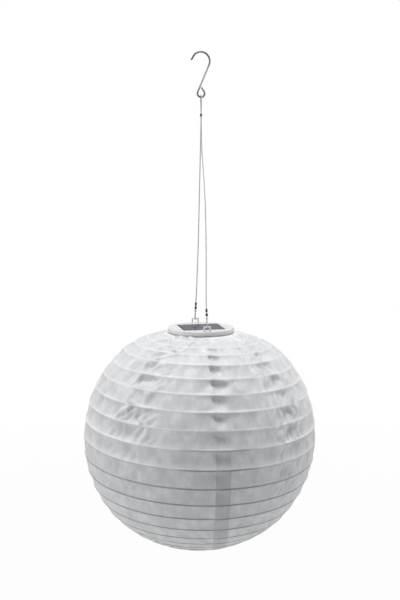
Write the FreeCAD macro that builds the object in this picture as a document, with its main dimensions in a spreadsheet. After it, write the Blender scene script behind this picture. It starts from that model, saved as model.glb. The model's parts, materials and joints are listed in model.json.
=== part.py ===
"""Hanging solar lantern: a cloth shade on steel hoops under a round solar cap, on a cable bail with a hook.

Millimetres, +Z up. The origin is the inside top of the hook's bend, where the lantern hangs.
+X runs along the solar panel's long side, and the two lugs lie on the Y axis, the front one at -Y.
"""

import FreeCAD, Part

import math
import os
import re

import Sketcher
from FreeCAD import Placement, Rotation, Vector

os.makedirs("parts", exist_ok=True)
doc = FreeCAD.newDocument("solar_lantern")
sheet = doc.addObject("Spreadsheet::Sheet", "Sizes")

# Driving sizes in millimetres and degrees
SIZES = {
    # Hook of bent steel wire
    "hook_wire_diameter": 2.3,
    "hook_bend_radius": 11.3,
    "hook_tip_angle": 150.0,
    "hook_tip_length": 6.0,
    "hook_eye_drop_height": 50.2,
    "hook_eye_radius": 4.65,
    "hook_eye_return_angle": 395.0,
    "hook_eye_return_length": 4.9,
    # Coated steel cable and its crimped sleeves
    "cable_diameter": 1.5,
    "cable_loop_gap": 0.4,
    "ferrule_drop_height": 77.2,
    "ferrule_height": 3.6,
    "ferrule_wall_thickness": 0.55,
    "strand_gap": 0.3,
    "leg_straight_length": 12.0,
    "sleeve_length": 4.6,
    "sleeve_diameter": 2.9,
    "sleeve_bevel_width": 0.4,
    "sleeve_seat_depth": 2.6,
    # Swivel and snap at the foot of each leg, measured up the leg from the lug
    "snap_wire_diameter": 0.9,
    "snap_length": 12.6,
    "snap_bend_radius": 3.0,
    "snap_top_radius": 1.1,
    "snap_lean": 13.0,
    "swivel_wire_diameter": 0.8,
    "swivel_ring_radius": 1.3,
    "swivel_neck_gap": 0.5,
    "barrel_length": 4.2,
    "barrel_diameter": 3.3,
    "barrel_end_diameter": 2.1,
    "barrel_taper_length": 1.3,
    "barrel_bore_gap": 0.06,
    "stem_head_diameter": 1.9,
    "stem_head_height": 0.6,
    "stem_head_gap": 0.35,
    # Lugs of the cap
    "lug_inset": 6.0,
    "lug_width": 10.0,
    "lug_height": 6.6,
    "lug_bar_height": 1.7,
    "lug_leg_width": 2.0,
    "lug_depth": 2.0,
    "lug_corner_radius": 1.2,
    "lug_foot_width": 1.0,
    "lug_foot_height": 1.05,
    "snap_clearance": 0.5,
    "seat_gap": 0.05,
    # Cap cover
    "cap_drop_height": 350.2,
    "cap_rim_width": 8.0,
    "cap_skirt_height": 3.4,
    "cap_skirt_thickness": 2.0,
    "cap_plate_thickness": 2.2,
    "cap_edge_radius": 1.0,
    "panel_width": 50.0,
    "panel_corner_inset": 6.83,
    "panel_thickness": 1.1,
    "adhesive_thickness": 0.4,
    "panel_gap": 0.3,
    "lead_hole_diameter": 3.0,
    # Housing below the cover
    "housing_flange_height": 1.8,
    "housing_flange_inset": 0.8,
    "tub_gap": 1.8,
    "housing_depth": 23.6,
    "housing_wall_thickness": 1.6,
    "housing_edge_width": 1.2,
    "boss_diameter": 4.8,
    "boss_side_gap": 1.93,
    "boss_side_offset": 4.0,
    "boss_front_gap": 1.0,
    "screw_diameter": 2.0,
    "screw_length": 11.0,
    "screw_head_diameter": 4.0,
    "screw_head_height": 1.3,
    "screw_hole_gap": 0.1,
    "clip_width": 6.0,
    "clip_thickness": 1.2,
    "clip_reach_length": 0.4,
    "clip_room": 3.57,
    # Battery bay
    "battery_diameter": 14.2,
    "battery_length": 49.2,
    "battery_nub_diameter": 5.4,
    "battery_nub_height": 1.2,
    "battery_offset": 12.0,
    "battery_gap": 0.4,
    "battery_edge_width": 0.6,
    "contact_thickness": 0.5,
    "contact_height": 9.0,
    "contact_width": 8.0,
    "contact_bulge_depth": 1.1,
    "bay_wall_thickness": 1.4,
    "bay_wall_height": 9.0,
    "door_width": 16.0,
    "door_gap": 0.3,
    "door_plate_thickness": 1.2,
    "door_lip_width": 0.8,
    "door_ear_offset": 3.0,
    "door_ear_radius": 2.8,
    "door_screw_length": 7.0,
    "door_boss_height": 7.0,
    # Circuit board, lamp and switch
    "board_length": 40.0,
    "board_width": 19.0,
    "board_thickness": 1.2,
    "board_offset": 14.5,
    "board_height": 11.2,
    "post_diameter": 3.2,
    "post_inset_distance": 2.6,
    "lamp_offset": 9.0,
    "lamp_diameter": 5.0,
    "lamp_length": 7.0,
    "lamp_rim_width": 0.4,
    "lamp_rim_height": 1.0,
    "lamp_leg_width": 0.5,
    "lamp_leg_spacing": 2.5,
    "lamp_stand_out_height": 1.6,
    "lens_radius": 8.0,
    "lens_wall_thickness": 1.2,
    "switch_offset": 23.2,
    "switch_length": 9.0,
    "switch_width": 4.6,
    "switch_height": 3.6,
    "switch_wall_thickness": 0.8,
    "slider_plate_thickness": 1.2,
    "slider_length": 4.4,
    "slider_stem_width": 2.0,
    "slider_stand_out_height": 1.8,
    "switch_travel_length": 2.4,
    "switch_gap": 0.3,
    # Shade: hoops on a sphere, opened and flattened a little at its ends, that hangs a little askew
    "shade_radius": 152.4,
    "neck_drop": 0.3,
    "hoop_wire_diameter": 1.2,
    "hoop_tilt": 1.6,
    "shade_lean": 2.3,
    "shade_offset": 3.6,
    "cloth_thickness": 0.4,
    "cloth_gap": 0.5,
    "top_flattening_height": 12.9,
    "top_flat_angle": 40.0,
    "bottom_flattening_height": 4.2,
    "bottom_flat_angle": 51.0,
    "equator_angle": 90.2,
    "hoop_step": 8.75,
    "upper_step_loss": 0.139,
    "lower_step_loss": 0.199,
}

# Sizes that follow from the driving ones; the tub goes round whichever of its contents reaches furthest
DERIVED = {
    "bay_half_length": "battery_length/2+battery_nub_height/2+contact_thickness+contact_bulge_depth+battery_gap/2",
    "bay_reach": "sqrt((bay_half_length+bay_wall_thickness)^2+(battery_offset+contact_width/2)^2)",
    "board_reach": "sqrt((board_length/2)^2+(board_offset+board_width/2)^2)",
    "housing_inside_radius": "max(bay_reach;board_reach)+tub_gap",
    "housing_radius": "housing_inside_radius+housing_wall_thickness",
    "cap_radius": "housing_radius+cap_rim_width",
    "lug_out": "cap_radius-lug_inset",
    "panel_length": "2*sqrt((cap_radius-panel_corner_inset)^2-(panel_width/2)^2)",
    "boss_front_out": "housing_inside_radius-boss_front_gap-boss_diameter/2",
    "boss_side_reach": "housing_inside_radius-boss_side_gap-boss_diameter/2",
    "boss_side_out": "sqrt(boss_side_reach^2-boss_side_offset^2)",
    "door_ear_out": "battery_offset+door_width/2+door_ear_offset",
    "underside_level": "-cap_skirt_height-housing_depth",
    "floor_level": "underside_level+housing_wall_thickness",
    "hoop_seat_level": "-cap_skirt_height-housing_flange_height-cloth_gap*2-cloth_thickness-hoop_wire_diameter/2",
    "top_hoop_radius": "housing_radius+clip_thickness+clip_room+hoop_wire_diameter/2",
    "top_hoop_angle": "asin(top_hoop_radius/shade_radius)/1deg",
    "top_hoop_share": "(cos(top_hoop_angle*1deg)-cos(top_flat_angle*1deg))/(1-cos(top_flat_angle*1deg))",
    "top_hoop_rise": "shade_radius*cos(top_hoop_angle*1deg)-top_flattening_height*max(0;top_hoop_share)",
    "shade_level": "-cap_drop_height+hoop_seat_level+neck_drop-top_hoop_rise",
}
HOOPS_ABOVE = 10
HOOPS_BELOW = 9
CLIPS = 4

# Flat sides that stand for a round one
HOOK_SIDES = 8
CABLE_SIDES = 6
SNAP_SIDES = 6
HOOP_SIDES = 32
SMALL_SIDES = 12
DOME_SIDES = 20

# Flat of the ferrule's narrow ends, and the angles down the lamp's lens at which its flats meet
FERRULE_FLAT_SHARE = 0.5
LENS_ANGLES = (0, 22, 44, 66, 82)

# How much of the shorter run an arc of the cable's route takes
ARC_SHARE = 0.45
HALF_TURN_ARC_SHARE = 0.5

# Shares below which two places are one place, a face is flat and two volumes are the same
SAME_PLACE_SHARE = 1e-4
FLATNESS_SHARE = 1e-7
SAME_VOLUME_SHARE = 0.02

# Legs of the bail: shares of x over the spread, of the spread, and of the drop, from ferrule to sleeve
FRONT_LEG_SHARES = [
    (0.003, 0.033, 0.084), (0.010, 0.067, 0.179), (0.027, 0.283, 0.278), (0.037, 0.517, 0.387),
    (0.040, 0.717, 0.517), (0.030, 0.867, 0.690), (0.013, 0.947, 0.863),
]
BACK_LEG_SHARES = [
    (-0.003, 0.033, 0.101), (-0.007, 0.100, 0.214), (-0.010, 0.213, 0.356), (-0.010, 0.347, 0.517),
    (-0.003, 0.517, 0.677), (0.000, 0.720, 0.829),
]

for number, (alias, value) in enumerate(SIZES.items(), 1):
    sheet.set("A%d" % number, alias)
    sheet.set("B%d" % number, str(value))
    sheet.setAlias("B%d" % number, alias)
for number, (alias, formula) in enumerate(DERIVED.items(), len(SIZES) + 1):
    sheet.set("A%d" % number, alias)
    sheet.setAlias("B%d" % number, alias)
    sheet.set("B%d" % number, "=" + formula)
doc.recompute()

nodes = {}


def full(expression):
    """The expression with each size's name pointed at the sheet."""
    return re.sub(r"[a-z]+(?:_[a-z]+)+", lambda word: "Sizes." + word.group(), expression)


def number_of(expression):
    """The value that an expression of sizes has now."""
    return float(sheet.evalExpression(full(expression)))


def bind(thing, **properties):
    """Binds properties to expressions; a double underscore stands for a dot."""
    for name, expression in properties.items():
        thing.setExpression(name.replace("__", "."), full(expression))


def keep(label, thing):
    """Files a finished piece under its node name."""
    thing.Label = label
    nodes[label] = thing
    return thing


def new_body(label, raised="0", forward="0"):
    """A body with its own origin, set at a height and a place along Y."""
    body = doc.addObject("PartDesign::Body", label)
    bind(body, Placement__Base__z=raised, Placement__Base__y=forward)
    return keep(label, body)


def new_sketch(body, plane, raised="0"):
    """A sketch on one of the body's own origin planes, moved along its normal."""
    sketch = body.newObject("Sketcher::SketchObject", "Sketch")
    flat = [item for item in body.Origin.OriginFeatures if item.Role == plane][0]
    sketch.AttachmentSupport = (flat, "")
    sketch.MapMode = "FlatFace"
    bind(sketch, AttachmentOffset__Base__z=raised)
    return sketch


def add_outline(sketch, corners):
    """A closed outline whose corners are bound to pairs of expressions."""
    first = sketch.GeometryCount
    places = [Vector(number_of(x), number_of(y), 0) for x, y in corners]
    count = len(corners)
    for i in range(count):
        sketch.addGeometry(Part.LineSegment(places[i], places[(i + 1) % count]), False)
    for i in range(count):
        sketch.addConstraint(Sketcher.Constraint("Coincident", first + i, 2, first + (i + 1) % count, 1))
    for i, pair in enumerate(corners):
        for kind, expression, value in (
            ("DistanceX", pair[0], places[i].x),
            ("DistanceY", pair[1], places[i].y),
        ):
            held = sketch.addConstraint(Sketcher.Constraint(kind, -1, 1, first + i, 1, value))
            sketch.setExpression("Constraints[%d]" % held, full(expression))


def add_rectangle(sketch, x, y, length, width):
    """A rectangle about a centre, all four given as expressions."""
    left, right = "(%s)-(%s)/2" % (x, length), "(%s)+(%s)/2" % (x, length)
    low, high = "(%s)-(%s)/2" % (y, width), "(%s)+(%s)/2" % (y, width)
    add_outline(sketch, [(left, low), (right, low), (right, high), (left, high)])


def revolve(body, corners):
    """Turns a half outline, in radius and height, about the body's Z axis."""
    sketch = new_sketch(body, "XZ_Plane")
    add_outline(sketch, corners)
    turned = body.newObject("PartDesign::Revolution", "Turned")
    turned.Profile = sketch
    turned.ReferenceAxis = (sketch, ["V_Axis"])
    turned.Angle = 360
    return turned


def pad(body, sketch, length, downwards=False, centred=False):
    """Adds a sketch's area along its normal."""
    added = body.newObject("PartDesign::Pad", "Added")
    added.Profile = sketch
    added.Reversed = downwards
    added.Midplane = centred
    bind(added, Length=length)
    return added


def pocket(body, sketch, length, upwards=False):
    """Cuts a sketch's area along its normal, and makes sure that it cuts."""
    doc.recompute()
    before = body.Shape.Volume
    cut = body.newObject("PartDesign::Pocket", "Cut")
    cut.Profile = sketch
    cut.Reversed = upwards
    bind(cut, Length=length)
    doc.recompute()
    if not body.Shape.Volume < before:
        raise ValueError("a pocket in %s cuts nothing" % body.Label)
    return cut


def round_edges(body, radius, wanted):
    """Rounds the body's edges that the test picks out."""
    doc.recompute()
    base = body.Tip
    picked = ["Edge%d" % (i + 1) for i, edge in enumerate(base.Shape.Edges) if wanted(edge)]
    rounded = body.newObject("PartDesign::Fillet", "Rounded")
    rounded.Base = (base, picked)
    bind(rounded, Radius=radius)
    return rounded


def primitive(kind, **properties):
    """One of the plain Part shapes with its sizes and place bound to expressions."""
    thing = doc.addObject("Part::" + kind, kind)
    bind(thing, **properties)
    return thing


def add_round(sketch, x, y, radius):
    """A small round outline with flat sides."""
    corners = []
    for i in range(SMALL_SIDES):
        angle = "%d*1deg" % (360 * i // SMALL_SIDES)
        across, along = "(%s)*cos(%s)" % (radius, angle), "(%s)*sin(%s)" % (radius, angle)
        corners.append(("(%s)+%s" % (x, across), "(%s)+%s" % (y, along)))
    add_outline(sketch, corners)


def fuse(*things):
    """Joins plain shapes into one."""
    joined = doc.addObject("Part::MultiFuse", "Joined")
    joined.Shapes = list(things)
    return joined


def prism(radius, height, foot, sides=SMALL_SIDES, **properties):
    """An upright bar with flat sides, its corners at the radius."""
    return primitive("Prism", Polygon=str(sides), Circumradius=radius, Height=height,
                     Placement__Base__z=foot, **properties)


def flat_sided(rings, closed):
    """A solid of flat faces between rings of points; closed joins the last ring to the first."""
    pairs = list(zip(rings, rings[1:]))
    faces = [Part.Face(Part.makePolygon(ring + ring[:1])) for ring in (rings[0], rings[-1]) if not closed]
    if closed:
        pairs.append((rings[-1], rings[0]))
    for low, high in pairs:
        for i in range(len(low)):
            j = (i + 1) % len(low)
            corners = [low[i], low[j], high[j], high[i]]
            side = corners[1] - corners[0]
            across = side.cross(corners[3] - corners[0])
            if abs((corners[2] - corners[0]).dot(across)) < FLATNESS_SHARE * side.Length * across.Length:
                faces.append(Part.Face(Part.makePolygon(corners + corners[:1])))
            else:
                faces.append(Part.Face(Part.makePolygon([low[i], low[j], high[j], low[i]])))
                faces.append(Part.Face(Part.makePolygon([low[i], high[j], high[i], low[i]])))
    solid = Part.Solid(Part.Shell(faces))
    if solid.Volume < 0:
        solid.reverse()
    return solid


def ring_points(radius, height, sides):
    """Corners of a level ring about Z."""
    turns = [2 * math.pi * i / sides for i in range(sides)]
    return [Vector(radius * math.cos(turn), radius * math.sin(turn), height) for turn in turns]


def turned(profile, sides=SMALL_SIDES, closed=True):
    """A solid turned about Z with flat sides, from pairs of radius and height."""
    rings = [ring_points(number_of(radius), number_of(height), sides) for radius, height in profile]
    return flat_sided(rings, closed)


def cut_away(base, *tools):
    """Takes plain shapes out of another."""
    for tool in tools:
        cut = doc.addObject("Part::Cut", "Cut")
        cut.Base = base
        cut.Tool = tool
        base = cut
    return base


def plain_feature(name, shape):
    """A shape made from its path or its rings."""
    feature = doc.addObject("Part::Feature", name)
    feature.Shape = shape
    return feature


def set_shape(label, shape):
    """A finished piece made from its path or its rings."""
    return keep(label, plain_feature(label, shape))


def wire_solid(edges, radius, sides):
    """A wire with flat sides along tangent edges, checked against section times length."""
    path = Part.Wire(edges)
    start = edges[0].Curve.value(edges[0].FirstParameter)
    along = edges[0].tangentAt(edges[0].FirstParameter)
    ring = Part.Circle(start, along, radius)
    corners = [ring.value(2 * math.pi * i / sides) for i in range(sides + 1)]
    solid = path.makePipeShell([Part.makePolygon(corners)], True, False)
    wanted = sides / 2 * math.sin(2 * math.pi / sides) * radius ** 2 * path.Length
    if abs(abs(solid.Volume) / wanted - 1) > SAME_VOLUME_SHARE:
        raise ValueError("a wire's volume is off: %.2f against %.2f" % (solid.Volume, wanted))
    return solid


def rounded_run(points, half_turn=()):
    """Straight runs joined by arcs; an arc takes a share of its shorter run, half of it in a half turn."""
    edges, radii = [], []
    last = points[0]
    for i in range(1, len(points) - 1):
        into = (points[i] - points[i - 1]).normalize()
        out = (points[i + 1] - points[i]).normalize()
        half = into.getAngle(out) / 2
        shorter = min((points[i] - points[i - 1]).Length, (points[i + 1] - points[i]).Length)
        reach = (HALF_TURN_ARC_SHARE if i in half_turn else ARC_SHARE) * shorter
        radius = reach / math.tan(half)
        radii.append(radius)
        start, end = points[i] - into * reach, points[i] + out * reach
        inward = (out - into).normalize()
        middle = points[i] + inward * (radius / math.cos(half) - radius)
        if (start - last).Length > SAME_PLACE_SHARE * shorter:
            edges.append(Part.LineSegment(last, start).toShape())
        edges.append(Part.Arc(start, middle, end).toShape())
        last = end
    edges.append(Part.LineSegment(last, points[-1]).toShape())
    return edges, radii


# Shade: each hoop's place follows from its step round the sphere
def hoop_angle(step):
    """Angle from the top pole of the hoop that is so many steps below the widest one."""
    if step == -HOOPS_ABOVE:
        return "top_hoop_angle"
    loss = "upper_step_loss" if step < 0 else "-lower_step_loss"
    return "equator_angle+hoop_step*%d+(%s)*%d" % (step, loss, step * step)


def hoop_radius(step):
    """Radius of a hoop's centre line."""
    return "shade_radius*sin((%s)*1deg)" % hoop_angle(step)


def hoop_height(step):
    """Height over the shade's centre, less the flattening near either end."""
    angle = hoop_angle(step)
    if step < 0:
        flat, start, sign = "top_flattening_height", "top_flat_angle", ""
    else:
        flat, start, sign = "bottom_flattening_height", "bottom_flat_angle", "-"
    over = "(%scos((%s)*1deg)-cos(%s*1deg))/(1-cos(%s*1deg))" % (sign, angle, start, start)
    return "shade_radius*cos((%s)*1deg)-(%s(%s)*max(0;%s))" % (angle, sign, flat, over)


STEPS = range(-HOOPS_ABOVE, HOOPS_BELOW + 1)

# Places that several pieces share: up each leg from its lug, then in the cap from its top face
LUG_PIVOT = "lug_height-lug_bar_height-snap_clearance-snap_wire_diameter/2-cap_drop_height"
LEG_START_OUT = "lug_out+snap_bend_radius*sin(snap_lean*1deg)"
LEG_START_UP = LUG_PIVOT + "+snap_bend_radius*(1-cos(snap_lean*1deg))"
RING_CENTRE = "snap_length-snap_wire_diameter/2-swivel_wire_diameter/2-seat_gap+swivel_ring_radius"
BARREL_FOOT = "snap_length+swivel_ring_radius*2+swivel_neck_gap-swivel_wire_diameter/2"
SLEEVE_FOOT = "snap_length+swivel_ring_radius*2+swivel_neck_gap*2+barrel_length"
SLEEVE_SEAT = SLEEVE_FOOT + "+sleeve_length-sleeve_seat_depth"
BOSS_PLACES = [
    ("boss_side_out", "-boss_side_offset"), ("-boss_side_out", "-boss_side_offset"), ("0", "-boss_front_out"),
]


# Hook: a straight tip, an open bend, a slanting shank and a teardrop eye, all in the XZ plane
def make_hook():
    wire = number_of("hook_wire_diameter/2")
    bend, eye = number_of("hook_bend_radius"), number_of("hook_eye_radius")
    top = Vector(0, 0, wire - bend)
    bottom = Vector(0, 0, -number_of("hook_eye_drop_height"))
    lean = math.asin((bend + eye) / (top.z - bottom.z))

    def around(centre, radius, angle):
        return centre + Vector(math.cos(angle), 0, math.sin(angle)) * radius

    def arc(centre, radius, start, end):
        places = [around(centre, radius, angle) for angle in (start, (start + end) / 2, end)]
        return Part.Arc(*places).toShape()

    tip_angle = math.radians(number_of("hook_tip_angle"))
    bend_start = around(top, bend, tip_angle)
    tip = bend_start + Vector(-math.sin(tip_angle), 0, math.cos(tip_angle)) * number_of("hook_tip_length")
    eye_end = math.radians(number_of("hook_eye_return_angle"))
    eye_stop = around(bottom, eye, eye_end)
    back = Vector(-math.sin(eye_end), 0, math.cos(eye_end)) * number_of("hook_eye_return_length")
    edges = [
        Part.LineSegment(tip, bend_start).toShape(),
        arc(top, bend, tip_angle, -lean),
        Part.LineSegment(around(top, bend, -lean), around(bottom, eye, math.pi - lean)).toShape(),
        arc(bottom, eye, math.pi - lean, eye_end),
        Part.LineSegment(eye_stop, eye_stop + back).toShape(),
    ]
    set_shape("hook", wire_solid(edges, wire, HOOK_SIDES))


# Cable: one length from leg to leg, over the hook's eye, both strands through the ferrule
def make_cable():
    radius = number_of("cable_diameter/2")
    side = number_of("(cable_diameter+strand_gap)/2")
    pivot = -number_of("hook_eye_drop_height+hook_eye_radius")
    loop = number_of("hook_wire_diameter/2+cable_loop_gap+cable_diameter/2")
    middle = -number_of("ferrule_drop_height")
    straight = number_of("ferrule_height/2+cable_diameter")
    lean = math.radians(number_of("snap_lean"))
    out, up = number_of(LEG_START_OUT), number_of(LEG_START_UP)

    def up_leg(hand, along):
        """A point up the leg's own axis from its lug; hand is -1 at the front and 1 at the back."""
        return Vector(0, hand * (out - along * math.sin(lean)), up + along * math.cos(lean))

    enter = number_of(SLEEVE_SEAT)
    leave = enter + number_of("leg_straight_length")

    def leg(hand, shares):
        """Route points from the ferrule down to the sleeve."""
        start = Vector(0, hand * side, middle - straight)
        low = up_leg(hand, leave)
        spread, drop = abs(low.y - start.y), start.z - low.z
        points = [start]
        for across, wide, down in shares:
            points.append(start + Vector(across * spread, hand * wide * spread, -down * drop))
        return points + [low, up_leg(hand, enter)]

    front, back = leg(-1, FRONT_LEG_SHARES), leg(1, BACK_LEG_SHARES)
    shoulder = pivot - 2 * loop
    over = [Vector(0, -side, middle + straight), Vector(0, -loop, shoulder), Vector(0, -loop, pivot + loop)]
    over += [Vector(0, -place.y, place.z) for place in reversed(over)]
    points = front[::-1] + over + back
    edges, radii = rounded_run(points, half_turn=[i for i, place in enumerate(points) if place.z > pivot])
    print("cable radii", [round(value, 1) for value in radii])
    print("cable length", round(sum(edge.Length for edge in edges), 1))
    print("cable points", [tuple(round(part, 2) for part in point) for point in points])
    set_shape("hanger_cable", wire_solid(edges, radius, CABLE_SIDES))


# Ferrule: an oval sleeve pressed round both strands
def make_ferrule():
    body = new_body("hanger_ferrule", "-ferrule_drop_height-ferrule_height/2")
    sketch = new_sketch(body, "XY_Plane")
    half = "(cable_diameter+strand_gap)/2"
    outer = "cable_diameter/2+ferrule_wall_thickness"
    flat = "(%s)*%s" % (outer, FERRULE_FLAT_SHARE)
    add_outline(sketch, [
        ("-(%s)" % outer, "-(%s)" % half), ("-(%s)" % flat, "-(%s)-(%s)" % (half, outer)),
        (flat, "-(%s)-(%s)" % (half, outer)), (outer, "-(%s)" % half),
        (outer, half), (flat, "(%s)+(%s)" % (half, outer)),
        ("-(%s)" % flat, "(%s)+(%s)" % (half, outer)), ("-(%s)" % outer, half),
    ])
    pad(body, sketch, "ferrule_height")
    for sign in ("", "-"):
        bore = new_sketch(body, "XY_Plane")
        add_round(bore, "0", sign + "(cable_diameter+strand_gap)/2", "cable_diameter/2+seat_gap")
        pocket(body, bore, "ferrule_height", upwards=True)


def lean_leg(thing, hand):
    """Sets a piece made upright at the lug onto the leaning axis of its leg."""
    thing.Placement = Placement(Vector(), Rotation(Vector(hand, 0, 0), 1))
    bind(thing, Placement__Base__y="%d*(%s)" % (hand, LEG_START_OUT), Placement__Base__z=LEG_START_UP,
         Placement__Rotation__Angle="snap_lean")


# Snap: a teardrop of spring wire, its wide bend round the lug's bar and its narrow one in the swivel's ring
def make_snap(label, hand):
    wire = number_of("snap_wire_diameter/2")
    wide, narrow = number_of("snap_bend_radius"), number_of("snap_top_radius")
    lean = math.radians(number_of("snap_lean")) * hand
    low = Vector(0, hand * number_of("lug_out"), number_of(LUG_PIVOT) + wide)
    up = Vector(0, -math.sin(lean), math.cos(lean))
    side = Vector(0, math.cos(lean), math.sin(lean))
    high = low + up * (number_of("snap_length") - wide - narrow)
    slope = math.asin((wide - narrow) / (high - low).Length)

    def around(centre, radius, angle):
        return centre + side * (math.cos(angle) * radius) + up * (math.sin(angle) * radius)

    right, left = slope, math.pi - slope
    edges = [
        Part.LineSegment(around(low, wide, right), around(high, narrow, right)).toShape(),
        Part.Arc(*[around(high, narrow, a) for a in (right, math.pi / 2, left)]).toShape(),
        Part.LineSegment(around(high, narrow, left), around(low, wide, left)).toShape(),
        Part.Arc(*[around(low, wide, a) for a in (left, -math.pi / 2, right)]).toShape(),
    ]
    set_shape(label, wire_solid(edges, wire, SNAP_SIDES))


def make_leg_end(name, hand):
    """The swivel's eye, barrel and stem, and the crimped sleeve of one leg."""
    neck, head = "swivel_wire_diameter/2", "stem_head_diameter/2"
    top, end = "(%s)+barrel_length" % BARREL_FOOT, "(%s)+sleeve_length" % SLEEVE_FOOT
    side = "swivel_wire_diameter*sin(45deg)"
    outer = prism("swivel_ring_radius+(%s)/2" % side, side, "-(%s)/2" % side)
    inner = prism("swivel_ring_radius-(%s)/2" % side, side, "-(%s)/2" % side)
    ring = cut_away(outer, inner)
    ring.Placement = Placement(Vector(), Rotation(Vector(1, 0, 0), 90))
    bind(ring, Placement__Base__z=RING_CENTRE)
    ring_top, low_head = "(%s)+swivel_ring_radius" % RING_CENTRE, "(%s)+stem_head_height" % BARREL_FOOT
    shaft = prism(neck, "(%s)-(%s)" % (low_head, ring_top), ring_top)
    lean_leg(keep("swivel_eye_" + name, fuse(ring, shaft, prism(head, "stem_head_height", low_head))), hand)

    high_head = "(%s)-stem_head_height*2" % top
    shaft = prism(neck, "(%s)-seat_gap-(%s)" % (SLEEVE_SEAT, high_head), high_head)
    lean_leg(keep("swivel_stem_" + name, fuse(shaft, prism(head, "stem_head_height", high_head))), hand)

    lip = "stem_head_height-stem_head_gap"
    bore, room = neck + "+barrel_bore_gap", head + "+stem_head_gap/2"
    lean_leg(set_shape("swivel_barrel_" + name, turned([
        ("barrel_end_diameter/2", BARREL_FOOT),
        ("barrel_diameter/2", "(%s)+barrel_taper_length" % BARREL_FOOT),
        ("barrel_diameter/2", "(%s)-barrel_taper_length" % top), ("barrel_end_diameter/2", top),
        (bore, top), (bore, "(%s)-(%s)" % (top, lip)), (room, "(%s)-(%s)" % (top, lip)),
        (room, "(%s)+%s" % (BARREL_FOOT, lip)), (bore, "(%s)+%s" % (BARREL_FOOT, lip)), (bore, BARREL_FOOT),
    ])), hand)

    narrow = "sleeve_diameter/2-sleeve_bevel_width"
    bore, room = neck + "+seat_gap", "cable_diameter/2+seat_gap"
    lean_leg(set_shape("leg_sleeve_" + name, turned([
        (narrow, SLEEVE_FOOT), ("sleeve_diameter/2", "(%s)+sleeve_bevel_width" % SLEEVE_FOOT),
        ("sleeve_diameter/2", "(%s)-sleeve_bevel_width" % end), (narrow, end),
        (room, end), (room, SLEEVE_SEAT), (bore, SLEEVE_SEAT), (bore, SLEEVE_FOOT),
    ])), hand)


# Lug: a moulded staple whose feet spread under the cover's plate
def make_lug(label, hand):
    body = new_body(label, "-cap_drop_height", "lug_out" if hand > 0 else "-lug_out")
    sketch = new_sketch(body, "XZ_Plane")
    outer, inner = "lug_width/2", "lug_width/2-lug_leg_width"
    toe, under = "lug_width/2+lug_foot_width", "-cap_plate_thickness-seat_gap"
    sole = "-cap_plate_thickness-seat_gap-lug_foot_height"
    half = [(outer, "lug_height"), (outer, under), (toe, under), (toe, sole), (inner, sole),
            (inner, "lug_height-lug_bar_height")]
    add_outline(sketch, half + [("-(%s)" % x, z) for x, z in reversed(half)])
    pad(body, sketch, "lug_depth", centred=True)
    top = number_of("lug_height")
    near = top * SAME_PLACE_SHARE
    round_edges(body, "lug_corner_radius",
                lambda edge: edge.BoundBox.ZMin > top - near and edge.BoundBox.XLength < near)


# Cover: a round plate with a skirt, the panel's recess, the lugs' slots and three screw bosses
def make_cover():
    body = new_body("cap_cover", "-cap_drop_height")
    rim = "cap_radius"
    near = "cap_edge_radius*(1-sin(45deg))"
    revolve(body, [
        ("0", "0"), (rim + "-cap_edge_radius", "0"),
        ("%s-%s" % (rim, near), "-" + near), (rim, "-cap_edge_radius"),
        (rim, "-cap_skirt_height"), (rim + "-cap_skirt_thickness", "-cap_skirt_height"),
        (rim + "-cap_skirt_thickness", "-cap_plate_thickness"), ("0", "-cap_plate_thickness"),
    ])
    recess = new_sketch(body, "XY_Plane")
    add_rectangle(recess, "0", "0", "panel_length+panel_gap*2", "panel_width+panel_gap*2")
    pocket(body, recess, "panel_thickness+adhesive_thickness")
    hole = new_sketch(body, "XY_Plane")
    add_round(hole, "0", "0", "lead_hole_diameter/2")
    pocket(body, hole, "cap_plate_thickness")
    leg = "lug_width/2-lug_leg_width/2"
    slot = new_sketch(body, "XY_Plane")
    for x in (leg, "-(%s)" % leg):
        for y in ("lug_out", "-lug_out"):
            add_rectangle(slot, x, y, "lug_leg_width+seat_gap*2", "lug_depth+seat_gap*2")
    pocket(body, slot, "cap_plate_thickness")
    bosses = new_sketch(body, "XY_Plane", "-cap_plate_thickness")
    for x, y in BOSS_PLACES:
        add_round(bosses, x, y, "boss_diameter/2")
        add_round(bosses, x, y, "screw_diameter/2")
    deep = "cap_skirt_height+housing_depth-housing_wall_thickness-cap_plate_thickness"
    pad(body, bosses, deep, downwards=True)


def make_panel():
    """The solar panel and the adhesive pad under it."""
    panel = new_body("solar_panel", "-cap_drop_height")
    face = new_sketch(panel, "XY_Plane")
    add_rectangle(face, "0", "0", "panel_length", "panel_width")
    pad(panel, face, "panel_thickness", downwards=True)
    glue = new_body("panel_adhesive", "-cap_drop_height-panel_thickness")
    under = new_sketch(glue, "XY_Plane")
    add_rectangle(under, "0", "0", "panel_length-panel_gap*4", "panel_width-panel_gap*4")
    pad(glue, under, "adhesive_thickness", downwards=True)


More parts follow.
